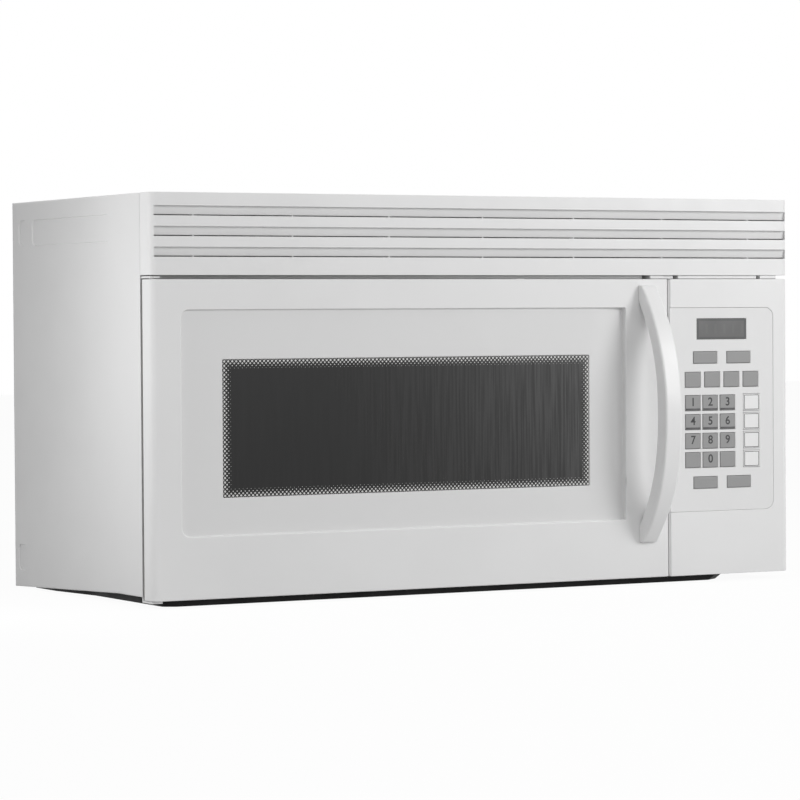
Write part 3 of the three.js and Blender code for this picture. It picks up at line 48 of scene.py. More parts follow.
# ---- Levels and faces, as in the solids ----
# Depths are drawn from a plane 153 mm behind the front face, which lies this far behind the frame's origin.
DATUM = 3.75
LEFT, RIGHT = -379.5, 379.5
FRONT, BACK = -153.0, 197.0
BODY_FRONT, WRAP_BACK = -129.5, 195.7
FACE_BACK = BODY_FRONT - 0.3      # the back of the grille and of the control panel
DOOR_BACK, DOOR_INSIDE = -132.0, -133.6
DOOR_RIGHT, PANEL_LEFT = 225.0, 226.5
DOOR_BOTTOM, DOOR_TOP = 8.0, 324.5
GRILLE_BOTTOM, TOP = 328.5, 410.0
SIDE_BOTTOM = 11.0
WALL_BOTTOM = 1.2      # the sides' lower edge falls to here at the wall
FALL_START = -68.0     # and starts to fall at this depth
SHEET = 1.0            # the cabinet's steel
WALL = 3.0             # the door's and the control panel's plastic
# Rectangles on the front are left, right, bottom and top.
INSET = (-346.5, 170.8, 70.3, 294.3)
WINDOW = (-300.0, 127.0, 107.8, 244.8)
OVERLAY = (226.5, 359.5, 76.0, 294.0)
DISPLAY_X, DISPLAY_Z = 292.8, 271.2
CAVITY_RIGHT = 192.5
TRAY_X, TRAY_Y = -77.5, 20.5


# ---- Camera ----
# Fitted to edges of the side, the door, the gap over it and the window, in metres and radians.
CAMERA_PLACE = (-1.779025, -3.203482, 0.285212)
CAMERA_TURN = (0.502279, -0.0240202, -0.0062823)     # yaw, pitch and roll
CAMERA_LENS = 154.134


def make_camera():
    yaw, pitch, roll = CAMERA_TURN
    ahead = Vector((math.sin(yaw) * math.cos(pitch), math.cos(yaw) * math.cos(pitch), math.sin(pitch)))
    flat = Vector((math.cos(yaw), -math.sin(yaw), 0))
    upward = flat.cross(ahead)
    across = math.cos(roll) * flat + math.sin(roll) * upward
    up = -math.sin(roll) * flat + math.cos(roll) * upward
    data = bpy.data.cameras.new("camera")
    data.sensor_width = 36
    data.lens = CAMERA_LENS
    data.clip_start, data.clip_end = 0.05, 60
    camera = bpy.data.objects.new("camera", data)
    bpy.context.scene.collection.objects.link(camera)
    turn = Matrix((across, up, -ahead)).transposed()
    camera.matrix_world = Matrix.Translation(CAMERA_PLACE) @ turn.to_4x4()
    bpy.context.scene.camera = camera


make_camera()


# ---- Node helpers for materials ----
class Shader:
    """A material's node tree, with short calls for the nodes used here."""

    def __init__(self, name, colour=None, rough=0.4, metallic=0.0, **sockets):
        self.name = name
        self.material = bpy.data.materials.new(name)
        self.material.use_nodes = True
        self.tree = self.material.node_tree
        self.tree.nodes.clear()
        self.out = self.node("ShaderNodeOutputMaterial")
        self.surface = self.node("ShaderNodeBsdfPrincipled")
        self.link(self.surface.outputs[0], self.out.inputs[0])
        self.set("Roughness", rough)
        self.set("Metallic", metallic)
        if colour:
            self.set("Base Color", (*colour, 1))
        for key, value in sockets.items():
            self.set(key.replace("_", " "), value)
        self.place = self.node("ShaderNodeTexCoord").outputs["Object"]

    def node(self, kind, **values):
        node = self.tree.nodes.new(kind)
        for key, value in values.items():
            setattr(node, key, value)
        return node

    def link(self, a, b):
        self.tree.links.new(a, b)

    def set(self, socket, value):
        self.surface.inputs[socket].default_value = value

    def feed(self, socket, value):
        self.link(value, self.surface.inputs[socket])

    def put(self, socket, value):
        if hasattr(value, "default_value"):
            self.link(value, socket)
        else:
            socket.default_value = value

    def math(self, operation, a, b=0.0, c=0.0, clamp=False):
        node = self.node("ShaderNodeMath", operation=operation, use_clamp=clamp)
        for socket, value in zip(node.inputs, (a, b, c)):
            self.put(socket, value)
        return node.outputs[0]

    def scaled(self, x, y, z):
        node = self.node("ShaderNodeMapping")
        node.inputs["Scale"].default_value = (x, y, z)
        self.link(self.place, node.inputs["Vector"])
        return node.outputs[0]

    def noise(self, scale, detail=2.0, rough=0.5, stretch=None):
        node = self.node("ShaderNodeTexNoise")
        node.inputs["Scale"].default_value = scale
        node.inputs["Detail"].default_value = detail
        node.inputs["Roughness"].default_value = rough
        self.link(self.scaled(*stretch) if stretch else self.place, node.inputs["Vector"])
        return node.outputs["Fac"]

    def ranged(self, value, a, b, lo, hi, smooth=False):
        node = self.node("ShaderNodeMapRange")
        if smooth:
            node.interpolation_type = "SMOOTHSTEP"
        for socket, given in zip(node.inputs, (value, a, b, lo, hi)):
            self.put(socket, given)
        return node.outputs[0]

    def mix(self, factor, a, b):
        node = self.node("ShaderNodeMix", data_type="RGBA")
        self.put(node.inputs["Factor"], factor)
        for socket, value in ((node.inputs[6], a), (node.inputs[7], b)):
            self.put(socket, (*value, 1) if isinstance(value, tuple) and len(value) == 3 else value)
        return node.outputs[2]

    def bump(self, height, distance, strength=1.0):
        node = self.node("ShaderNodeBump")
        node.inputs["Distance"].default_value = distance
        node.inputs["Strength"].default_value = strength
        self.link(height, node.inputs["Height"])
        self.feed("Normal", node.outputs["Normal"])

    def millimetres(self):
        """The object's own x, y and z."""
        node = self.node("ShaderNodeSeparateXYZ")
        self.link(self.place, node.inputs[0])
        return [self.math("MULTIPLY", part, 1000) for part in node.outputs]

    def depth_inside(self, u, v, bounds):
        """How far (u, v) lies inside the nearest side of a rectangle."""
        u0, u1, v0, v1 = bounds
        across = self.math("MINIMUM", self.math("SUBTRACT", u, u0), self.math("SUBTRACT", u1, u))
        upward = self.math("MINIMUM", self.math("SUBTRACT", v, v0), self.math("SUBTRACT", v1, v))
        return self.math("MINIMUM", across, upward)

    def drift(self, scale, detail, lo=0, hi=1):
        """A noise that wanders from lo to hi over the surface."""
        return self.ranged(self.noise(scale, detail), 0.3, 0.7, lo, hi)

    def tone(self, colour, spread, scale=5.0):
        """The colour, drifting a little lighter and darker over the surface."""
        low = tuple(c * (1 - spread) for c in colour)
        high = tuple(min(1, c * (1 + spread)) for c in colour)
        self.feed("Base Color", self.mix(self.drift(scale, 3), low, high))


MATERIALS = {}


def finish(shader):
    MATERIALS[shader.name] = shader.material
    return shader.material


def coated(name, colour, rough, grain, depth, spread=0.02, rough_spread=0.06, metallic=0.0, **sockets):
    """A painted or moulded surface: fine grain or orange peel, a drifting tone and handled gloss."""
    s = Shader(name, None, rough, metallic, **sockets)
    s.tone(colour, spread)
    s.feed("Roughness", s.drift(38, 4, rough - rough_spread, rough + rough_spread))
    s.bump(s.noise(grain, 3, 0.55), depth)
    return finish(s)


coated("white_paint", (0.795, 0.795, 0.795), 0.36, 620, 0.00006)
# Painted light: the handle's white is a lighter copy of the white plastic, standing in for light that the
# lamps don't give the handle.
coated("handle_white_painted_light", (0.855, 0.855, 0.855), 0.34, 1500, 0.00002)
coated("white_plastic", (0.83, 0.83, 0.83), 0.34, 1500, 0.00002)
coated("black_paint", (0.006, 0.006, 0.006), 0.6, 800, 0.00006, rough_spread=0.08, Specular_IOR_Level=0.25)
coated("black_plastic", (0.022, 0.022, 0.024), 0.46, 2200, 0.00004, spread=0.12)
coated("grey_plastic", (0.27, 0.28, 0.29), 0.5, 1800, 0.00004, spread=0.05)
coated("key_grey", (0.30, 0.30, 0.30), 0.44, 2600, 0.00003, spread=0.03)
coated("key_white", (0.86, 0.86, 0.86), 0.4, 2600, 0.00002)
coated("key_ink", (0.035, 0.035, 0.037), 0.55, 3000, 0.00001, spread=0.1)
coated("key_bar", (0.115, 0.115, 0.117), 0.5, 3000, 0.00001, spread=0.08)
coated("overlay_film", (0.80, 0.80, 0.80), 0.4, 2400, 0.00003, spread=0.012)


def door_white():
    """The door's white, a shade duller on the inset panel's fine texture."""
    s = Shader("door_white", None, 0.34)
    x, y, z = s.millimetres()
    sunk = s.ranged(y, FRONT + DATUM + 1.0, FRONT + DATUM + 1.8, 0, 1)
    inset = s.math("MULTIPLY", sunk, s.ranged(s.depth_inside(x, z, INSET), -0.2, 0.4, 0, 1))
    shade = s.mix(s.drift(5, 3), (0.814, 0.814, 0.814), (0.846, 0.846, 0.846))
    s.feed("Base Color", s.mix(inset, shade, (0.765, 0.765, 0.765)))
    s.feed("Roughness", s.math("ADD", s.drift(38, 4, 0.28, 0.4), s.math("MULTIPLY", inset, 0.14)))
    s.bump(s.noise(1500, 3, 0.55), 0.00002)
    return finish(s)


def enamel():
    s = Shader("oven_enamel", None, 0.42)
    speck = s.ranged(s.noise(700, 2), 0.62, 0.7, 0, 0.35)
    base = s.mix(s.drift(4, 3), (0.66, 0.66, 0.63), (0.74, 0.74, 0.71))
    s.feed("Base Color", s.mix(speck, base, (0.5, 0.5, 0.48)))
    s.feed("Roughness", s.drift(30, 4, 0.34, 0.5))
    s.bump(s.noise(420, 3), 0.00008)
    return finish(s)


def zinc():
    s = Shader("zinc_steel", None, 0.4, 0.9)
    cells = s.node("ShaderNodeTexVoronoi")
    cells.inputs["Scale"].default_value = 75
    s.link(s.place, cells.inputs["Vector"])
    tint = s.node("ShaderNodeSeparateColor")
    s.link(cells.outputs["Color"], tint.inputs[0])
    s.feed("Base Color", s.mix(tint.outputs[0], (0.47, 0.48, 0.49), (0.62, 0.63, 0.64)))
    s.feed("Roughness", s.ranged(tint.outputs[1], 0, 1, 0.32, 0.5))
    s.bump(s.noise(900, 2), 0.00003)
    return finish(s)


def aluminium():
    s = Shader("aluminium", None, 0.35, 0.92)
    grain = s.noise(60, 4, 0.6, stretch=(1, 40, 40))
    s.feed("Base Color", s.mix(s.ranged(grain, 0.3, 0.7, 0, 1), (0.56, 0.57, 0.58), (0.72, 0.73, 0.74)))
    s.feed("Roughness", s.ranged(grain, 0.3, 0.7, 0.3, 0.46))
    s.bump(grain, 0.00003)
    return finish(s)


def circuit_board():
    s = Shader("circuit_board", None, 0.38)
    tracks = s.node("ShaderNodeTexBrick")
    tracks.inputs["Scale"].default_value = 140
    tracks.inputs["Mortar Size"].default_value = 0.035
    turn = s.node("ShaderNodeMapping")
    turn.inputs["Rotation"].default_value = (1.5708, 0, 0)
    s.link(s.place, turn.inputs["Vector"])
    s.link(turn.outputs[0], tracks.inputs["Vector"])
    mask = s.math("MULTIPLY", tracks.outputs["Fac"], s.ranged(s.noise(45, 2), 0.46, 0.54, 0, 0.7))
    s.feed("Base Color", s.mix(mask, (0.03, 0.115, 0.055), (0.10, 0.26, 0.13)))
    s.bump(tracks.outputs["Fac"], 0.0001)
    return finish(s)


def clear_glass():
    s = Shader("clear_glass", (0.93, 0.97, 0.96), 0.03, Transmission_Weight=1.0, IOR=1.5)
    s.feed("Roughness", s.ranged(s.noise(14, 4), 0.35, 0.7, 0.02, 0.09))
    s.bump(s.noise(160, 2), 0.00002)
    return finish(s)


def dots(s, u, v, pitch, row, radius, soft=0.25):
    """A staggered lattice of dots over u, v in millimetres; 1 inside a dot."""

    def from_dot(value, period, shift):
        """How far the value lies from the nearest dot; one dot is at zero."""
        part = s.math("FRACT", s.math("ADD", s.math("DIVIDE", value, period), 100.5 + shift))
        return s.math("MULTIPLY", s.math("SUBTRACT", part, 0.5), period)

    near = None
    for shift in (0.0, 0.5):
        du, dv = from_dot(u, pitch, shift), from_dot(v, 2 * row, shift)
        reach = s.math("SQRT", s.math("ADD", s.math("MULTIPLY", du, du), s.math("MULTIPLY", dv, dv)))
        near = reach if near is None else s.math("MINIMUM", near, reach)
    return s.ranged(s.math("SUBTRACT", radius, near), -soft / 2, soft / 2, 0, 1, smooth=True)


DOT_PITCH, DOT_ROW = 4.40625, 2.2233


def window_glass():
    """Dark glass with a printed border of light dots that shrink inward, and a painted reflection over it."""
    s = Shader("window_glass", None, 0.09, IOR=1.5, Specular_IOR_Level=0.43)
    u, _, v = s.millimetres()
    x0, _, z0, z1 = WINDOW
    edge = s.depth_inside(u, v, WINDOW)
    radius = s.ranged(edge, 1.9, 10.2, 1.13, 0.03)
    from_left, from_bottom = s.math("SUBTRACT", u, x0 + 2), s.math("SUBTRACT", v, z0 + 1.8)
    lattice = dots(s, from_left, from_bottom, DOT_PITCH, DOT_ROW, radius)
    ink = s.math("MULTIPLY", lattice, s.ranged(edge, 8.6, 9.0, 1, 0))
    # Painted reflection: the dark glass is painted brighter toward the right and the top, with faint upright
    # streaks in that brightening.
    across = s.math("POWER", s.ranged(u, -200, 120, 0, 1), 1.5)
    lit = s.math("MULTIPLY", across, s.ranged(v, z0, z1, 0.68, 1.05))
    painted_reflection = s.math("ADD", s.math("MULTIPLY", lit, 0.056), s.ranged(v, z0, z1, 0.001, 0.011))
    streak = s.ranged(s.noise(1, 1, stretch=(400, 1, 13)), 0.36, 0.64, -1, 1)
    streaked_reflection = s.math("MULTIPLY", streak, s.ranged(lit, 0, 0.9, 0.0015, 0.02))
    level = s.math("MAXIMUM", s.math("ADD", painted_reflection, streaked_reflection), 0.001)
    dark = s.node("ShaderNodeCombineColor")
    for socket in dark.inputs:
        s.link(level, socket)
    # The glass's colour here carries the painted reflection as well as the printed dots.
    s.feed("Base Color", s.mix(ink, dark.outputs[0], (0.70, 0.70, 0.69)))
    s.feed("Roughness", s.ranged(ink, 0, 1, 0.09, 0.32))
    s.bump(ink, 0.00003)
    return finish(s)


def display_glass():
    """Grey glass with a darker frame and the ghosts of unlit digits."""
    s = Shader("display_glass", None, 0.14, IOR=1.5)
    u, _, v = s.millimetres()
    du = s.math("ABSOLUTE", s.math("SUBTRACT", u, DISPLAY_X))
    dv = s.math("ABSOLUTE", s.math("SUBTRACT", v, DISPLAY_Z))
    frame_mask = s.math("MAXIMUM", s.ranged(du, 28.6, 29.4, 0, 1), s.ranged(dv, 8.2, 8.8, 0, 1))
    digit = s.math("ABSOLUTE", s.math("SUBTRACT", s.math("FRACT", s.math("DIVIDE", u, 11.4)), 0.5))
    ghost = s.math("MULTIPLY", s.ranged(digit, 0.36, 0.4, 0, 0.25), s.ranged(dv, 4.6, 5.2, 1, 0))
    lit = s.mix(ghost, (0.145, 0.146, 0.146), (0.19, 0.191, 0.19))
    s.feed("Base Color", s.mix(frame_mask, lit, (0.115, 0.116, 0.117)))
    s.feed("Roughness", s.drift(60, 3, 0.1, 0.2))
    return finish(s)


def screen_paint():
    """Black painted steel, perforated with small round holes over the window's area."""
    s = Shader("screen_paint", None, 0.4)
    u, _, v = s.millimetres()
    x0, x1, z0, z1 = WINDOW
    edge = s.depth_inside(u, v, (x0 - 6, x1 + 6, z0 - 6, z1 + 6))
    hole = s.math("MULTIPLY", dots(s, u, v, 3.2, 1.6, 0.72, 0.2), s.ranged(edge, 0, 0.5, 0, 1))
    s.feed("Base Color", s.mix(hole, (0.035, 0.035, 0.036), (0.004, 0.004, 0.004)))
    s.feed("Roughness", s.ranged(hole, 0, 1, 0.38, 0.7))
    s.bump(hole, -0.0004)
    return finish(s)


def mica():
    s = Shader("mica", None, 0.35)
    flakes = s.ranged(s.noise(90, 5, 0.7), 0.3, 0.7, 0, 1)
    s.feed("Base Color", s.mix(flakes, (0.42, 0.37, 0.28), (0.58, 0.52, 0.42)))
    s.bump(s.noise(200, 4), 0.0001)
    return finish(s)


for make in (door_white, enamel, zinc, aluminium, circuit_board, clear_glass, window_glass, display_glass,
             screen_paint, mica):
    make()


# ---- Mesh helpers, in millimetres ----
def metres(point):
    """A point of the drawing, in the frame."""
    x, y, z = point
    return Vector((x * MM, (y + DATUM) * MM, z * MM))


def node_box(node):
    """A node's corners as the drawing measures them."""
    lo, hi = (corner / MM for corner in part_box(node))
    lo.y, hi.y = lo.y - DATUM, hi.y - DATUM
    return lo, hi


def fillet(points, radii, steps=6):
    """A closed outline of (u, v) points with its corners rounded."""
    if not isinstance(radii, (list, tuple)):
        radii = [radii] * len(points)
    out = []
    for i, (point, radius) in enumerate(zip(points, radii)):
        corner = Vector(point)
        if radius <= 0:
            out.append(tuple(corner))
            continue
        before = (Vector(points[i - 1]) - corner).normalized()
        after = (Vector(points[(i + 1) % len(points)]) - corner).normalized()
        half = before.angle(after) / 2
        centre = corner + (before + after).normalized() * (radius / math.sin(half))
        start = corner + before * (radius / math.tan(half)) - centre
        end = corner + after * (radius / math.tan(half)) - centre
        first = math.atan2(start.y, start.x)
        sweep = (math.atan2(end.y, end.x) - first + math.pi) % (2 * math.pi) - math.pi
        for k in range(steps + 1):
            angle = first + sweep * k / steps
            out.append((centre.x + radius * math.cos(angle), centre.y + radius * math.sin(angle)))
    return out


def rect(x0, x1, y0, y1, radii=0, steps=6):
    """A rectangle; its radii go round from (x0, y0) through (x1, y0)."""
    return fillet([(x0, y0), (x1, y0), (x1, y1), (x0, y1)], radii, steps)


def circle(x, y, radius, sides=48):
    return [(x + radius * math.cos(2 * math.pi * k / sides), y + radius * math.sin(2 * math.pi * k / sides))
            for k in range(sides)]


def from_bmesh(bm, name):
    bmesh.ops.recalc_face_normals(bm, faces=bm.faces)
    for face in bm.faces:
        face.smooth = True
    mesh = bpy.data.meshes.new(name)
    bm.to_mesh(mesh)
    bm.free()
    obj = bpy.data.objects.new(name, mesh)
    bpy.context.scene.collection.objects.link(obj)
    return obj


def loft(name, rings):
    """A skin through rings of 3-D points, capped at both ends."""
    bm = bmesh.new()
    rows = [[bm.verts.new(metres(point)) for point in ring] for ring in rings]
    for one, two in zip(rows, rows[1:]):
        for k in range(len(one)):
            j = (k + 1) % len(one)
            bm.faces.new((one[k], one[j], two[j], two[k]))
    bm.faces.new(rows[0])
    bm.faces.new(rows[-1])
    return from_bmesh(bm, name)


def along(axis, outline, level):
    """The outline's points at a level: drawn in (y, z) along x, in (x, z) along y, in (x, y) along z."""
    if axis == "x":
        return [(level, u, v) for u, v in outline]
    if axis == "y":
        return [(u, level, v) for u, v in outline]
    return [(u, v, level) for u, v in outline]


def prism(name, axis, outline, a, b):
    return loft(name, [along(axis, outline, a), along(axis, outline, b)])


def block(name, x0, x1, y0, y1, z0, z1):
    return prism(name, "z", rect(x0, x1, y0, y1), z0, z1)


def turned(name, profile, centre, axis="z", sides=64):
    """A profile of (radius, height) points turned about an axis. Points on the axis are merged."""
    bm = bmesh.new()
    rows = []
    for radius, height in profile:
        count = 1 if radius < 1e-6 else sides
        row = []
        for k in range(count):
            angle = 2 * math.pi * k / sides
            a, b = radius * math.cos(angle), radius * math.sin(angle)
            point = {"z": (a, b, height), "x": (height, a, b), "y": (a, height, b)}[axis]
            row.append(bm.verts.new(metres([p + c for p, c in zip(point, centre)])))
        rows.append(row)
    ring_shaped = len(rows[0]) > 1 and len(rows[-1]) > 1
    for one, two in zip(rows, rows[1:] + ([rows[0]] if ring_shaped else [])):
        for k in range(sides):
            j = (k + 1) % sides
            a, b = one[k % len(one)], one[j % len(one)]
            c, d = two[j % len(two)], two[k % len(two)]
            corners = [v for n, v in enumerate((a, b, c, d)) if v not in (a, b, c, d)[:n]]
            if len(corners) > 2:
                bm.faces.new(corners)
    return from_bmesh(bm, name)


def applied(obj):
    """The object with its modifiers made part of its mesh."""
    bpy.context.view_layer.update()
    graph = bpy.context.evaluated_depsgraph_get()
    mesh = bpy.data.meshes.new_from_object(obj.evaluated_get(graph))
    obj.modifiers.clear()
    old, obj.data = obj.data, mesh
    bpy.data.meshes.remove(old)
    return obj


def drop(obj):
    mesh = obj.data
    bpy.data.objects.remove(obj)
    bpy.data.meshes.remove(mesh)


def joined(name, objs):
    """One object holding these meshes, as they stand."""
    bm = bmesh.new()
    for obj in objs:
        obj.data.transform(obj.matrix_world)
        bm.from_mesh(obj.data)
        drop(obj)
    return from_bmesh(bm, name)


def combine(obj, tools, operation):
    """A boolean with tools that don't touch each other."""
    tool = joined(obj.name + "-tool", tools) if len(tools) > 1 else tools[0]
    step = obj.modifiers.new("shape", "BOOLEAN")
    step.operation, step.solver, step.object = operation, "EXACT", tool
    applied(obj)
    drop(tool)
    return obj


def cut(obj, *tools):
    return combine(obj, list(tools), "DIFFERENCE")


def add(obj, *tools):
    return combine(obj, list(tools), "UNION")


def soften(obj, width, segments=3, angle=32, weld=False):
    """Small rounded edges, with the flats kept flat in the shading."""
    if weld:
        obj.modifiers.new("weld", "WELD").merge_threshold = 0.00001
    edge = obj.modifiers.new("edge", "BEVEL")
    edge.width, edge.segments = width * MM, segments
    edge.limit_method, edge.angle_limit = "ANGLE", math.radians(angle)
    edge.use_clamp_overlap = weld
    edge.miter_outer = "MITER_ARC"
    shade = obj.modifiers.new("shade", "WEIGHTED_NORMAL")
    shade.keep_sharp = False
    shade.weight = 80
    return obj


def dress(obj, material, body, *replaced):
    """Gives a piece its finish and its body, and hides the solids that it stands for."""
    obj.data.materials.clear()
    obj.data.materials.append(MATERIALS[material])
    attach(obj, body)
    if replaced:
        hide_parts(*replaced)
    return obj


# ---- Cabinet ----
LIP = 12                          # the sheet's inward lip under each side
# Front, back, bottom and top of each stamping.
STAMPINGS = [(-55, 143, 364, 390), (160, 180, 365, 390), (165, 187, 20, 46)]
STAMPING_RADIUS = 6
BULGE = ((0.5, 0.6), (2.2, 0))    # each step's depth inside the side's face, and its extra growth
PRESS = ((-0.6, 1.1), (0.3, 0.7), (1.2, 0))
CORD_X, CORD_Y, CORD_RADIUS = 309.5, 137, 19
OUTLET = (-127, 127, 102.5, 185)  # left, right, front and back
BOLT_X, BOLT_Y, BOLT_RADIUS = 220, -93, 5
HINGE_NOTCH = 14                  # before and behind the body's front
PAN_RIM = (12.3, 13.3)
FILTER_MIDDLES = (-219.5, 64.5)
HOOK_X = 250
BACK_SLOTS, BACK_SLOT_PITCH = 6, 15
BACK_SCREWS = [(x, z) for x in (-372, 372) for z in (60, 210, 360)]
BACK_SCREWS += [(x, 22) for x in (-250, 0, 250)] + [(x, 400) for x in (-300, -160, 160, 300)]


def stamping(name, side, bounds, grow, steps):
    """A stamping's form in one side sheet, grown all round."""
    y0, y1, z0, z1 = bounds
    rings = []
    for depth, extra in steps:
        g = grow + extra
        outline = rect(y0 - g, y1 + g, z0 - g, z1 + g, STAMPING_RADIUS + g, 5)
        rings.append(along("x", outline, side * (RIGHT - depth)))
    return loft(name, rings)


def wrap_ring(y, bottom):
    """The folded sheet's section at y, with its lips at the bottom."""
    out = fillet([(RIGHT - LIP, bottom), (RIGHT, bottom), (RIGHT, TOP),
                  (LEFT, TOP), (LEFT, bottom), (LEFT + LIP, bottom)], [0, 1.6, 2.2, 2.2, 1.6, 0], 5)
    low, high = bottom + SHEET, TOP - SHEET
    inner = fillet([(LEFT + LIP, low), (LEFT + SHEET, low), (LEFT + SHEET, high),
                    (RIGHT - SHEET, high), (RIGHT - SHEET, low), (RIGHT - LIP, low)],
                   [0, 0.6, 1.2, 1.2, 0.6, 0], 5)
    return along("y", out + inner, y)


def outer_wrap():
    wrap = loft("wrap", [wrap_ring(BODY_FRONT, SIDE_BOTTOM), wrap_ring(FALL_START, SIDE_BOTTOM),
                         wrap_ring(WRAP_BACK, WALL_BOTTOM)])
    bulges, presses = [], []
    for side in (-1, 1):
        for bounds in STAMPINGS:
            bulges.append(stamping("bulge", side, bounds, SHEET, BULGE))
            presses.append(stamping("press", side, bounds, 0, PRESS))
    low, high, outside = TOP - 4.5, TOP - 0.5, CORD_RADIUS + SHEET
    collar = turned("collar", [(CORD_RADIUS, low), (outside, low), (outside, high), (CORD_RADIUS, high)],
                    (CORD_X, CORD_Y, 0))
    add(wrap, *bulges, collar)
    under, over = TOP - 5, TOP + 2
    bolts = [(x, BOLT_Y, BOLT_RADIUS, 24) for x in (-BOLT_X, BOLT_X)]
    notches = [(LEFT + SHEET, LEFT + 25), (RIGHT - 25, RIGHT - SHEET)]
    cut(wrap, *presses,
        prism("cord", "z", circle(CORD_X, CORD_Y, CORD_RADIUS), TOP - 10, over),
        block("outlet", *OUTLET, under, over),
        *[prism("bolt", "z", circle(*bolt), under, over) for bolt in bolts],
        *[block("notch", x0, x1, BODY_FRONT - HINGE_NOTCH, BODY_FRONT + HINGE_NOTCH, 5, 13)
          for x0, x1 in notches])
    soften(wrap, 0.35, 2, 50, weld=True)
    return dress(wrap, "white_paint", "cabinet", "outer_wrap")


def pan_outline(inset, radius, drawn):
    """The pan in plan; drawn says how far its right end has sloped in."""
    y0, y1 = BODY_FRONT + 0.5 + inset, BACK - 20 - inset
    narrow, flared = LEFT + 25 + inset, LEFT + 14.3 + inset
    corners = [(LEFT + 37 + inset, y0), (RIGHT - 76 - inset - drawn, y0),
               (RIGHT - 59 - inset - drawn, y0 + 12), (RIGHT - 64 - inset - drawn, y1),
               (flared, y1), (flared, 122), (narrow, 42), (narrow, y0 + 8)]
    return fillet(corners, [3 * radius, 2 * radius, radius, radius, radius, radius, radius, 2 * radius], 5)


def pan(name, inset, radius, levels):
    return loft(name, [along("z", pan_outline(inset, radius, drawn), z) for drawn, z in levels])


def base_plate():
    plate = pan("pan", 0, 3, ((13, 0), (0, 8.5), (0, PAN_RIM[1])))
    add(plate, block("rim", LEFT + 1.3, RIGHT - 1.3, BODY_FRONT, WRAP_BACK, *PAN_RIM))
    cut(plate, pan("hollow", 1, 2.4, ((12, 1), (0, 8.9), (0, 15))))
    openings = [prism("opening", "z", rect(x - 95, x + 95, -33, 107, 4), -1, 2) for x in FILTER_MIDDLES]
    cut(plate, *openings, prism("lens", "z", rect(TRAY_X - 25, TRAY_X + 25, -97, -59, 3), -1, 2),
        block("hinge", LEFT, LEFT + HINGE_NOTCH, BODY_FRONT - 1, BODY_FRONT + HINGE_NOTCH, 5, 20))
    soften(plate, 0.45, 2, 40)
    return dress(plate, "black_paint", "cabinet", "base_plate")


def back_panel():
    panel = block("back-sheet", LEFT, RIGHT, BACK - SHEET, BACK, WALL_BOTTOM, TOP)
    holes = [rect(x - 6, x + 6, 326, 350, 5.5) for x in (-HOOK_X, HOOK_X)]
    rises = [BACK_SLOT_PITCH * i for i in range(BACK_SLOTS)]
    holes += [rect(256.5, 346.5, 88 + rise, 93 + rise, 2.4) for rise in rises]
    sink = [(0, BACK - 2), (2.4, BACK - 2), (2.4, BACK - 0.9), (4, BACK + 0.2), (0, BACK + 0.2)]
    cut(panel, *[prism("hole", "y", hole, BACK - 7, BACK + 3) for hole in holes],
        *[turned("sink", sink, (x, 0, z), "y", 24) for x, z in BACK_SCREWS])
    soften(panel, 0.25, 2, 40)
    dress(panel, "zinc_steel", "cabinet", "back_panel")
    for n, (x, z) in enumerate(BACK_SCREWS):
        flat_screw(f"back_screw_{n + 1}", x, z)


def flat_screw(name, x, z):
    """A countersunk cross-head screw, flush with the back."""
    head = turned(name, [(0, BACK - 3), (1.9, BACK - 3), (1.9, BACK - 1.4), (3.5, BACK - 0.35),
                         (3.4, BACK - 0.2), (0, BACK - 0.15)], (x, 0, z), "y", 24)
    cut(head, block("cross-a", x - 1.9, x + 1.9, BACK - 1.3, BACK + 1, z - 0.35, z + 0.35))
    cut(head, block("cross-b", x - 0.35, x + 0.35, BACK - 1.3, BACK + 1, z - 1.9, z + 1.9))
    return dress(head, "zinc_steel", "cabinet")


outer_wrap()
base_plate()
back_panel()


# ---- Vent grille ----
def plan(x0, x1, y0, y1, left_radius, right_radius, steps=10):
    """A plan outline whose two front corners are rounded."""
    return fillet([(x0, y0), (x1, y0), (x1, y1), (x0, y1)], [left_radius, right_radius, 0, 0], steps)


SLOT_LEVELS, SLOT_PITCH = (346.5, 356.2), 20.3
SLOTS = [[level + SLOT_PITCH * i for level in SLOT_LEVELS] for i in range(3)]
SLOT_LEFT, SLOT_RIGHT = LEFT + 4.95, RIGHT - 2.6
RIB_PITCH, RIB_HALF = 110, 0.8
SHELL = 2.5


def louvre(z0, z1):
    """The slanted blade behind one slot, and the ribs that hold it."""
    front, back, low = FRONT + 5.2, FRONT + 6.9, z0 + 1.05
    blade = [(front - 1.6, z1 + 2.5), (front - 1.6, z1), (back - 1.6, low), (back, low), (front, z1 + 2.5)]
    rib = [(FRONT + 2.6, z0 - 4), (FRONT + 2.6, z0 - 0.2), (back - 1.6, z0), (back - 1.6, z1),
           (back + 5, z1), (back + 5, z0 - 4)]
    pieces = [prism("blade", "x", blade, SLOT_LEFT, SLOT_RIGHT)]
    for k in range(-3, 4):
        pieces.append(prism("rib", "x", rib, RIB_PITCH * k - RIB_HALF, RIB_PITCH * k + RIB_HALF))
    return pieces


def vent_grille():
    shell = prism("grille", "z", plan(LEFT, RIGHT, FRONT, FACE_BACK, 8, 8, 6), GRILLE_BOTTOM, TOP)
    hollow = plan(LEFT + SHELL, RIGHT - SHELL, FRONT + SHELL, FACE_BACK + 3, 5.5, 5.5)
    cut(shell, prism("hollow", "z", hollow, GRILLE_BOTTOM + SHELL, TOP - SHELL))
    cut(shell, *[block("slot", SLOT_LEFT, SLOT_RIGHT, FRONT - 1, FRONT + 5.5, z0, z1) for z0, z1 in SLOTS])
    soften(shell, 0.3, 2, 40)
    dress(shell, "white_plastic", "cabinet", "vent_grille")
    louvres = joined("grille_louvres", [piece for z0, z1 in SLOTS for piece in louvre(z0, z1)])
    soften(louvres, 0.25, 2, 40)
    return dress(louvres, "white_plastic", "cabinet")


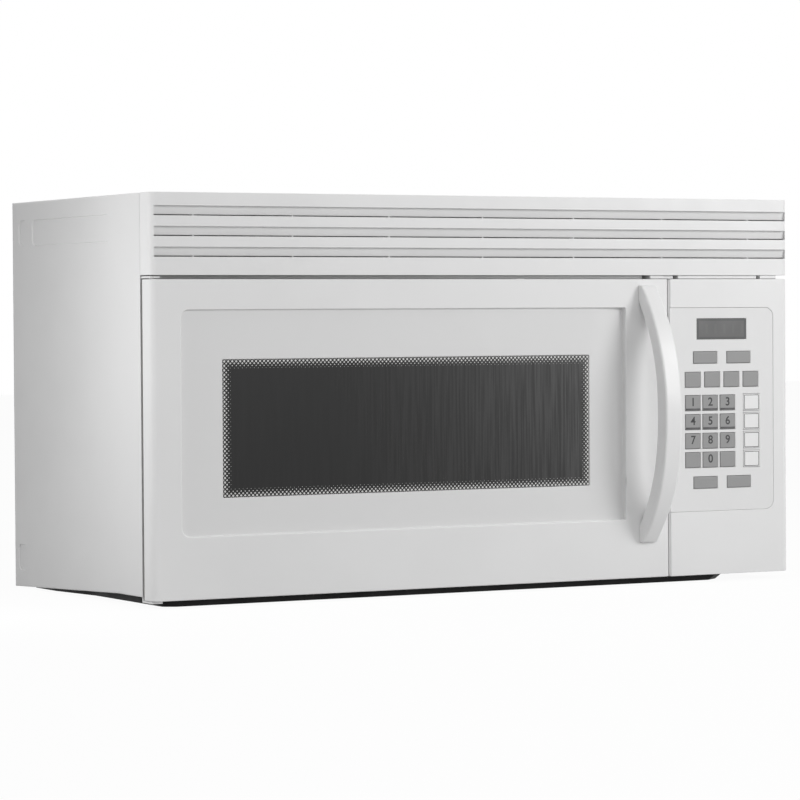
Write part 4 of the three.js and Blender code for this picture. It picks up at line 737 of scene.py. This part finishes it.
# Left end, right end, and how deep the front lies at each.
TOP_STRIPS = [(LEFT + 9, 198.2, -134.8, -142.8), (203.6, 219.5, -150.6, -150.6),
              (219.5, 233.4, -149.0, -149.0), (238.6, 339.5, -150.6, -150.6),
              (343.6, 364.5, -151.4, -151.4)]


def top_strips():
    """What shows in the gap over the door: a long slanted strip, then four shorter ones."""
    for n, (x0, x1, y0, y1) in enumerate(TOP_STRIPS):
        outline = [(x0, y0), (x1, y1), (x1, -131), (x0, -131)]
        strip = prism(f"top_strip_{n + 1}", "z", outline, 325.0, 328.3)
        soften(strip, 0.25, 2, 40)
        dress(strip, "white_plastic", "cabinet")


vent_grille()
top_strips()


# ---- Door ----
INSET_FLOOR = FRONT + 3
SINK_START, SINK = 130, 4.2       # toward the handle the inset's floor sinks on a curve
SINK_STEPS = 16
LEFT_ROUND = [9, 0, 0, 9]         # the inset's corners, rounded at its left end only
PIN_X, PIN_Y, PIN_HOLE = -373.5, -144, 2.8


def inset_floor():
    """The inset's cut: its floor is drawn in plan, and then its left end is rounded."""
    x0, x1, z0, z1 = INSET
    floor = [(x0 - 20, INSET_FLOOR), (SINK_START, INSET_FLOOR)]
    for k in range(1, SINK_STEPS + 1):
        t = k / SINK_STEPS
        floor.append((SINK_START + (x1 - SINK_START) * t, INSET_FLOOR + SINK * t ** 2))
    section = [(x0 - 20, FRONT - 2), (x1, FRONT - 2)] + floor[::-1]
    tool = prism("sunk", "z", section, z0 - 20, z1 + 20)
    keep = prism("keep", "y", rect(x0, x1, z0, z1, LEFT_ROUND, 8), FRONT - 4, DOOR_INSIDE)
    return combine(tool, [keep], "INTERSECT")


def door_frame():
    outer = prism("door", "z", plan(LEFT, DOOR_RIGHT, FRONT, DOOR_INSIDE, 8, 4), DOOR_BOTTOM, DOOR_TOP)
    hollow = plan(LEFT + WALL, DOOR_RIGHT - WALL, FRONT + WALL, DOOR_BACK, 5, 0)
    cut(outer, prism("hollow", "z", hollow, DOOR_BOTTOM + WALL, DOOR_TOP - WALL))
    x0, x1, z0, z1 = INSET
    pad = rect(x0 - WALL, x1 + WALL, z0 - WALL, z1 + WALL, LEFT_ROUND, 6)
    add(outer, prism("pad", "y", pad, FRONT + 1, INSET_FLOOR + WALL))
    add(outer, block("pocket", SINK_START - 2, x1 + WALL, -150.4, -144.6, z0 - WALL, z1 + WALL))
    cut(outer, inset_floor())
    x0, x1, z0, z1 = WINDOW
    cut(outer, block("window", x0, x1, FRONT, -140, z0, z1),
        prism("pin", "z", circle(PIN_X, PIN_Y, PIN_HOLE, 24), DOOR_BOTTOM - 2, DOOR_TOP + 2))
    soften(outer, 1.0, 3, 32)
    return dress(outer, "door_white", "door", "door_frame")


# ---- Handle ----
HANDLE = (187.0, 209.0, 46.0, 318.0)
HANDLE_END = 5            # how far its ends stand out of the door
HANDLE_RISE = 46.5        # and how much further its middle does
FULLNESS = 2.5            # what its lower half bows out beyond the arc
HANDLE_FOOT = 20          # the seat at each end, beside the finger gap
GRIP_DEPTH = 34.2         # of the finger gap
LOW_ROUND, HIGH_ROUND = 1.2, 2.8


def arc_offset(z, half, rise):
    """How far an arc of this half length and rise stands out at z from its middle."""
    radius = (half ** 2 + rise ** 2) / (2 * rise)
    return math.sqrt(max(0.0, radius ** 2 - z ** 2)) - (radius - rise)


def rounded_off(distance, radius):
    """What a rounded end takes away at this distance from it."""
    share = min(distance / radius, 1)
    return radius * (1 - math.sqrt(1 - (1 - share) ** 2))


def handle_ring(z):
    """The bar's section at one level."""
    x0, x1, z0, z1 = HANDLE
    middle, half = (z0 + z1) / 2, (z1 - z0) / 2
    below = max(0.0, middle - z) / half
    arc = arc_offset(z - middle, half, HANDLE_RISE)
    outer = HANDLE_END + arc + FULLNESS * math.sin(math.pi * below ** 1.6)
    # The finger gap follows a curve, and the curve runs smoothly into the seats where it would go below zero.
    reach = abs(z - middle) / (half - HANDLE_FOOT)
    gap = GRIP_DEPTH * (1 - reach ** 2.4) if reach < 1.12 else -9
    inner = 0.3 + (0.5 * (gap + math.sqrt(gap * gap + 1.6)) if gap > -9 else 0)
    trim = rounded_off(z - z0, LOW_ROUND) + rounded_off(z1 - z, HIGH_ROUND)
    thick = outer - inner
    y_out, y_in = FRONT - outer + min(trim, outer - 0.8), FRONT - inner
    narrow = 2.2 * max(0.0, abs(z - middle) / half - 0.55) / 0.45
    left, right = x0 + 0.4 * trim, x1 - narrow - 0.4 * trim
    lean = min(0.8, 0.06 * thick)
    section = [(left, y_in), (left + lean, y_out), (right - lean, y_out), (right, y_in)]
    rear = min(2.6, 0.2 * thick) if gap > -1 else 0.4
    nose = min(2.8, 0.3 * (y_in - y_out))
    return along("z", fillet(section, [rear, nose, nose, rear], 7), z)


def door_handle():
    """A bar bowed out in a flat arc, its two feet seated on the door beside the finger gap."""
    z0, z1 = HANDLE[2:]
    levels = [z0, z0 + 0.4, z0 + 1.2] + [z0 + 1.2 + (z1 - z0 - 4) * k / 110 for k in range(1, 110)]
    levels += [z1 - 2.8, z1 - 1.7, z1 - 0.9, z1 - 0.35, z1]
    handle = loft("handle", [handle_ring(z) for z in levels])
    shade = handle.modifiers.new("shade", "WEIGHTED_NORMAL")
    shade.keep_sharp = False
    # The handle takes the lighter white, which is painted light.
    return dress(handle, "handle_white_painted_light", "door", "door_handle")


door_frame()
door_handle()


# ---- Control panel ----
KEYS = [n for n in NODES if n.startswith("key_")]
KEY_FLANGE = 0.8                  # a key's flange reaches this far beyond its face
KEY_GAP, DISPLAY_GAP = 0.4, 0.3
DISPLAY_HALF_WIDTH, DISPLAY_HALF_HEIGHT = 31.75, 11
STANDOFF_HALF = 3.5               # half the width of the square standoffs, one in each of the board's corners
LIP_GAP = 0.02


def face_holes(y0, y1):
    """The openings for the keys and the display."""
    holes = []
    for name in KEYS:
        lo, hi = node_box(name)
        holes.append(block("hole", lo.x + KEY_FLANGE - KEY_GAP, hi.x - KEY_FLANGE + KEY_GAP, y0, y1,
                           lo.z + KEY_FLANGE - KEY_GAP, hi.z - KEY_FLANGE + KEY_GAP))
    half_width, half_height = DISPLAY_HALF_WIDTH + DISPLAY_GAP, DISPLAY_HALF_HEIGHT + DISPLAY_GAP
    holes.append(block("hole", DISPLAY_X - half_width, DISPLAY_X + half_width, y0, y1,
                       DISPLAY_Z - half_height, DISPLAY_Z + half_height))
    return holes


def control_panel():
    panel = prism("panel", "z", plan(PANEL_LEFT, RIGHT, FRONT, FACE_BACK, 1.6, 8), DOOR_BOTTOM, DOOR_TOP)
    hollow = plan(PANEL_LEFT + WALL, RIGHT - WALL, FRONT + WALL, FACE_BACK + 1, 0, 5)
    cut(panel, prism("hollow", "z", hollow, DOOR_BOTTOM + WALL, DOOR_TOP - WALL))
    x0, x1, z0, z1 = OVERLAY
    add(panel, block("pad", x0 + 1, x1 + WALL, FRONT + 1, -149, z0 - WALL, z1 + WALL))
    lo, hi = node_box("control_board")
    half = STANDOFF_HALF
    for x in (lo.x + half, hi.x - half):
        add(panel, *[block("standoff", x - half, x + half, FRONT + 1, -141.0, z - half, z + half)
                     for z in (lo.z + half, hi.z - half)])
    cut(panel, prism("recess", "y", rect(x0 - 4, x1, z0, z1, [0, 10, 10, 0], 8), FRONT - 1, FRONT + 1.5))
    cut(panel, *face_holes(FRONT, -148))
    soften(panel, 0.5, 3, 32)
    dress(panel, "white_plastic", "cabinet", "control_panel")


def panel_lip():
    """The thin lip along the panel's edge, in the seam beside the door."""
    lip = block("panel_lip", PANEL_LEFT - 0.9, PANEL_LEFT - LIP_GAP, FRONT + 1.1, FRONT + 9,
                DOOR_BOTTOM + 1, DOOR_TOP - 1)
    soften(lip, 0.2, 2, 40)
    dress(lip, "white_plastic", "cabinet")


def keypad_overlay():
    x0, x1, z0, z1 = OVERLAY
    outline = rect(x0, x1 - 0.3, z0 + 0.3, z1 - 0.3, [0, 9.7, 9.7, 0], 8)
    film = prism("overlay", "y", outline, FRONT + 0.3, FRONT + 1.2)
    cut(film, *face_holes(FRONT - 1, -149))
    soften(film, 0.18, 2, 40)
    dress(film, "overlay_film", "cabinet", "keypad_overlay")


control_panel()
panel_lip()
keypad_overlay()


# ---- Keys: softer caps over the solids' own, and their plain digits ----
CAP_EDGE = ((0.0, 0.9), (0.05, 0.5), (0.2, 0.18), (0.5, 0.0))    # depth behind the face, and how far drawn in
PRINTED = 0.03                    # how far a key's marks stand out of its face
NUMBER_SIZE = 12.5
BARRED_KEYS = "123456"            # the digit keys that carry a bar under their number


def key_outline(name, body, x0, x1, z0, z1, y):
    """The thin dark line round a white key's face."""
    ring = prism(name + "-outline", "y", rect(x0 + 0.95, x1 - 0.95, z0 + 0.95, z1 - 0.95, 0.5, 4),
                 y - PRINTED, y + 0.3)
    cut(ring, prism("inner", "y", rect(x0 + 1.6, x1 - 1.6, z0 + 1.6, z1 - 1.6, 0.2, 3), y - 1, y + 1))
    dress(ring, "key_ink", body)


def key_number(name, body, x, y, z):
    text = bpy.data.curves.new("digit", "FONT")
    text.body = name[-1]
    text.size = NUMBER_SIZE * MM
    text.extrude = 0.05 * MM
    text.offset = 0.2 * MM
    text.align_x, text.align_y = "CENTER", "CENTER"
    letter = bpy.data.objects.new("digit", text)
    bpy.context.scene.collection.objects.link(letter)
    bpy.context.view_layer.update()
    mesh = bpy.data.meshes.new_from_object(letter.evaluated_get(bpy.context.evaluated_depsgraph_get()))
    bpy.data.objects.remove(letter)
    mesh.transform(Matrix.Translation(metres((x, y, z))) @ Matrix.Rotation(math.pi / 2, 4, "X"))
    digit = bpy.data.objects.new(name + "-number", mesh)
    bpy.context.scene.collection.objects.link(digit)
    dress(digit, "key_ink", body)


def key_cap(name):
    """A key's cap with its flange and stem, and the marks on its face."""
    lo, hi = node_box(name)
    x0, x1, z0, z1 = lo.x + KEY_FLANGE, hi.x - KEY_FLANGE, lo.z + KEY_FLANGE, hi.z - KEY_FLANGE
    y0, y1 = lo.y, hi.y
    rings = []
    for depth, drawn in (*CAP_EDGE, (y1 - y0 - 2.4, 0.0)):
        rings.append(along("y", rect(x0 + drawn, x1 - drawn, z0 + drawn, z1 - drawn, 0.9, 4), y0 + depth))
    cap = loft(name + "-cap", rings)
    cx, cz = (x0 + x1) / 2, (z0 + z1) / 2
    add(cap, block("flange", lo.x, hi.x, y1 - 2.4, y1 - 1.2, lo.z, hi.z))
    add(cap, block("stem", cx - 3, cx + 3, y1 - 1.4, y1, cz - 3, cz + 3))
    soften(cap, 0.12, 2, 40)
    body = "body_" + name
    white = "outline" in name
    dress(cap, "key_white" if white else "key_grey", body, name)
    if white:
        key_outline(name, body, x0, x1, z0, z1, y0)
    if name.startswith("key_digit_"):
        key_number(name, body, cx, y0 - 0.01, cz + 0.8)
        if name[-1] in BARRED_KEYS:
            bar = block(name + "-bar", x0 + 0.5, x1 - 0.5, y0 - PRINTED, y0 + 0.3, z0 + 0.7, z0 + 2.5)
            dress(bar, "key_bar", body)


for key in KEYS:
    key_cap(key)


# ---- Oven: tray and wave guide cover ----
TRAY_HEIGHT = 12
LUG_COUNT = 3


def glass_tray():
    z = node_box("glass_tray")[1].z - TRAY_HEIGHT
    profile = [(0, z), (122, z), (129, z + 0.6), (141.2, z + 7.2), (142.8, z + 9), (143, z + 11),
               (142.4, z + 11.9), (141.2, z + 12), (139.6, z + 11.2), (130.5, z + 6.2), (126, z + 5.2),
               (121, z + 5), (0, z + 5)]
    tray = turned("tray", profile, (TRAY_X, TRAY_Y, 0), sides=128)
    middle = Matrix.Translation(metres((TRAY_X, TRAY_Y, 0)))
    lugs = []
    for k in range(LUG_COUNT):
        angle = 2 * math.pi * k / LUG_COUNT + math.pi / LUG_COUNT
        lug = block("lug", TRAY_X + 13.3, TRAY_X + 19.3, TRAY_Y - 3, TRAY_Y + 3, z - 4, z + 1)
        lug.data.transform(middle @ Matrix.Rotation(angle, 4, "Z") @ middle.inverted())
        lugs.append(lug)
    add(tray, *lugs)
    soften(tray, 0.5, 2, 45)
    return dress(tray, "clear_glass", "tray", "glass_tray")


def mica_cover():
    """The pale mica sheet over the wave guide's mouth."""
    outline = rect(-4, 76, 230, 292, 3, 4)
    sheet = prism("waveguide_cover", "x", outline, CAVITY_RIGHT - 0.9, CAVITY_RIGHT - 0.3)
    soften(sheet, 0.15, 2, 40)
    dress(sheet, "mica", "cabinet")


glass_tray()
mica_cover()


# ---- The solids that stay as they are, with finishes and small edges ----
STAY = {
    "door_window": ("window_glass", 0.25), "display_window": ("display_glass", 0.2),
    "door_screen": ("screen_paint", 0.3), "door_choke_cover": ("black_plastic", 0.3),
    "door_latch": ("white_plastic", 0.4), "interlock_bracket": ("grey_plastic", 0.4),
    "upper_hinge": ("white_paint", 0.3), "lower_hinge": ("white_paint", 0.3),
    "control_board": ("circuit_board", 0.3), "oven_cavity": ("oven_enamel", 0.3),
    "turntable_motor": ("zinc_steel", 0.5), "turntable_coupler": ("white_plastic", 0.6),
    "roller_ring": ("white_plastic", 0.6), "roller_wheel_1": ("white_plastic", 0.5),
    "roller_wheel_2": ("white_plastic", 0.5), "roller_wheel_3": ("white_plastic", 0.5),
    "magnetron": ("aluminium", 0.4), "inverter_supply": ("circuit_board", 0.4),
    "fan_shroud": ("zinc_steel", 0.4), "cooling_fan": ("black_plastic", 0.4),
    "blower_housing": ("zinc_steel", 0.4), "blower_motor": ("zinc_steel", 0.6),
    "blower_rotor": ("aluminium", 0.2), "exhaust_damper": ("aluminium", 0.3),
    "grease_filter_left": ("aluminium", 0.5), "grease_filter_right": ("aluminium", 0.5),
    "cooktop_lamp_lens": ("clear_glass", 0.3),
}
for node, (material, width) in STAY.items():
    obj = NODES[node]
    obj.data.materials.clear()
    obj.data.materials.append(MATERIALS[material])
    obj.data.polygons.foreach_set("use_smooth", [True] * len(obj.data.polygons))
    soften(obj, width, 2, 32, weld=True)


# ---- Floor, lamps and backdrop ----
FLOOR_HALF = 9
FLOOR_WHITE = 0.95        # how much of the floor is plain white where it is seen; the rest takes the shadow
WORLD_LEVEL = 0.39


def seen_rays(tree):
    """1 for rays that show the background: from the camera, a reflection or a refraction."""
    rays = tree.nodes.new("ShaderNodeLightPath")
    found = rays.outputs["Is Camera Ray"]
    for other in ("Is Glossy Ray", "Is Transmission Ray"):
        join = tree.nodes.new("ShaderNodeMath")
        join.operation = "MAXIMUM"
        tree.links.new(found, join.inputs[0])
        tree.links.new(rays.outputs[other], join.inputs[1])
        found = join.outputs[0]
    return found


def make_floor():
    mesh = bpy.data.meshes.new("floor")
    h = FLOOR_HALF
    mesh.from_pydata([(-h, -h, 0), (h, -h, 0), (h, h, 0), (-h, h, 0)], [], [(0, 1, 2, 3)])
    floor = bpy.data.objects.new("floor", mesh)
    bpy.context.scene.collection.objects.link(floor)
    material = bpy.data.materials.new("floor")
    material.use_nodes = True
    tree = material.node_tree
    tree.nodes.clear()
    out = tree.nodes.new("ShaderNodeOutputMaterial")
    matte = tree.nodes.new("ShaderNodeBsdfDiffuse")
    paint = tree.nodes.new("ShaderNodeMix")
    paint.data_type = "RGBA"
    paint.inputs[6].default_value = (0.55, 0.55, 0.55, 1)
    paint.inputs[7].default_value = (0.95, 0.95, 0.95, 1)
    tree.links.new(seen_rays(tree), paint.inputs[0])
    tree.links.new(paint.outputs[2], matte.inputs["Color"])
    glow = tree.nodes.new("ShaderNodeEmission")
    share = tree.nodes.new("ShaderNodeMath")
    share.operation = "MULTIPLY"
    share.inputs[1].default_value = FLOOR_WHITE
    tree.links.new(seen_rays(tree), share.inputs[0])
    mix = tree.nodes.new("ShaderNodeMixShader")
    tree.links.new(share.outputs[0], mix.inputs[0])
    tree.links.new(matte.outputs[0], mix.inputs[1])
    tree.links.new(glow.outputs[0], mix.inputs[2])
    tree.links.new(mix.outputs[0], out.inputs[0])
    mesh.materials.append(material)


def make_world(level):
    world = bpy.data.worlds.new("studio")
    bpy.context.scene.world = world
    world.use_nodes = True
    tree = world.node_tree
    tree.nodes.clear()
    out = tree.nodes.new("ShaderNodeOutputWorld")
    soft = tree.nodes.new("ShaderNodeBackground")
    soft.inputs["Strength"].default_value = level
    white = tree.nodes.new("ShaderNodeBackground")
    mix = tree.nodes.new("ShaderNodeMixShader")
    for node in (soft, white):
        node.inputs["Color"].default_value = (1, 1, 1, 1)
    tree.links.new(seen_rays(tree), mix.inputs[0])
    tree.links.new(soft.outputs[0], mix.inputs[1])
    tree.links.new(white.outputs[0], mix.inputs[2])
    tree.links.new(mix.outputs[0], out.inputs[0])


def lamp(name, place, aim, size, power, glossy=True, height=None):
    data = bpy.data.lights.new(name, "AREA")
    data.shape = "ELLIPSE"
    data.size, data.size_y = size, height or size
    data.energy = power
    obj = bpy.data.objects.new(name, data)
    bpy.context.scene.collection.objects.link(obj)
    obj.location = place
    obj.rotation_mode = "QUATERNION"
    obj.rotation_quaternion = (Vector(aim) - Vector(place)).to_track_quat("-Z", "Y")
    obj.visible_camera = False
    obj.visible_glossy = glossy


make_floor()
make_world(WORLD_LEVEL)
lamp("side_lamp", (-0.65, -0.145, 0.30), (-0.3795, -0.12, 0.26), 0.12, 0.55, glossy=False, height=0.5)
lamp("front_lamp", (1.6, -1.9, 1.0), (0.15, -0.15, 0.2), 1.3, 25)
lamp("fill_lamp", (-0.5, -2.7, 1.4), (0.1, -0.15, 0.2), 1.0, 8.5)
lamp("top_lamp", (-0.2, -0.3, 2.4), (0, 0, 0.2), 1.4, 6.5)
bpy.context.scene.view_settings.view_transform = "Standard"
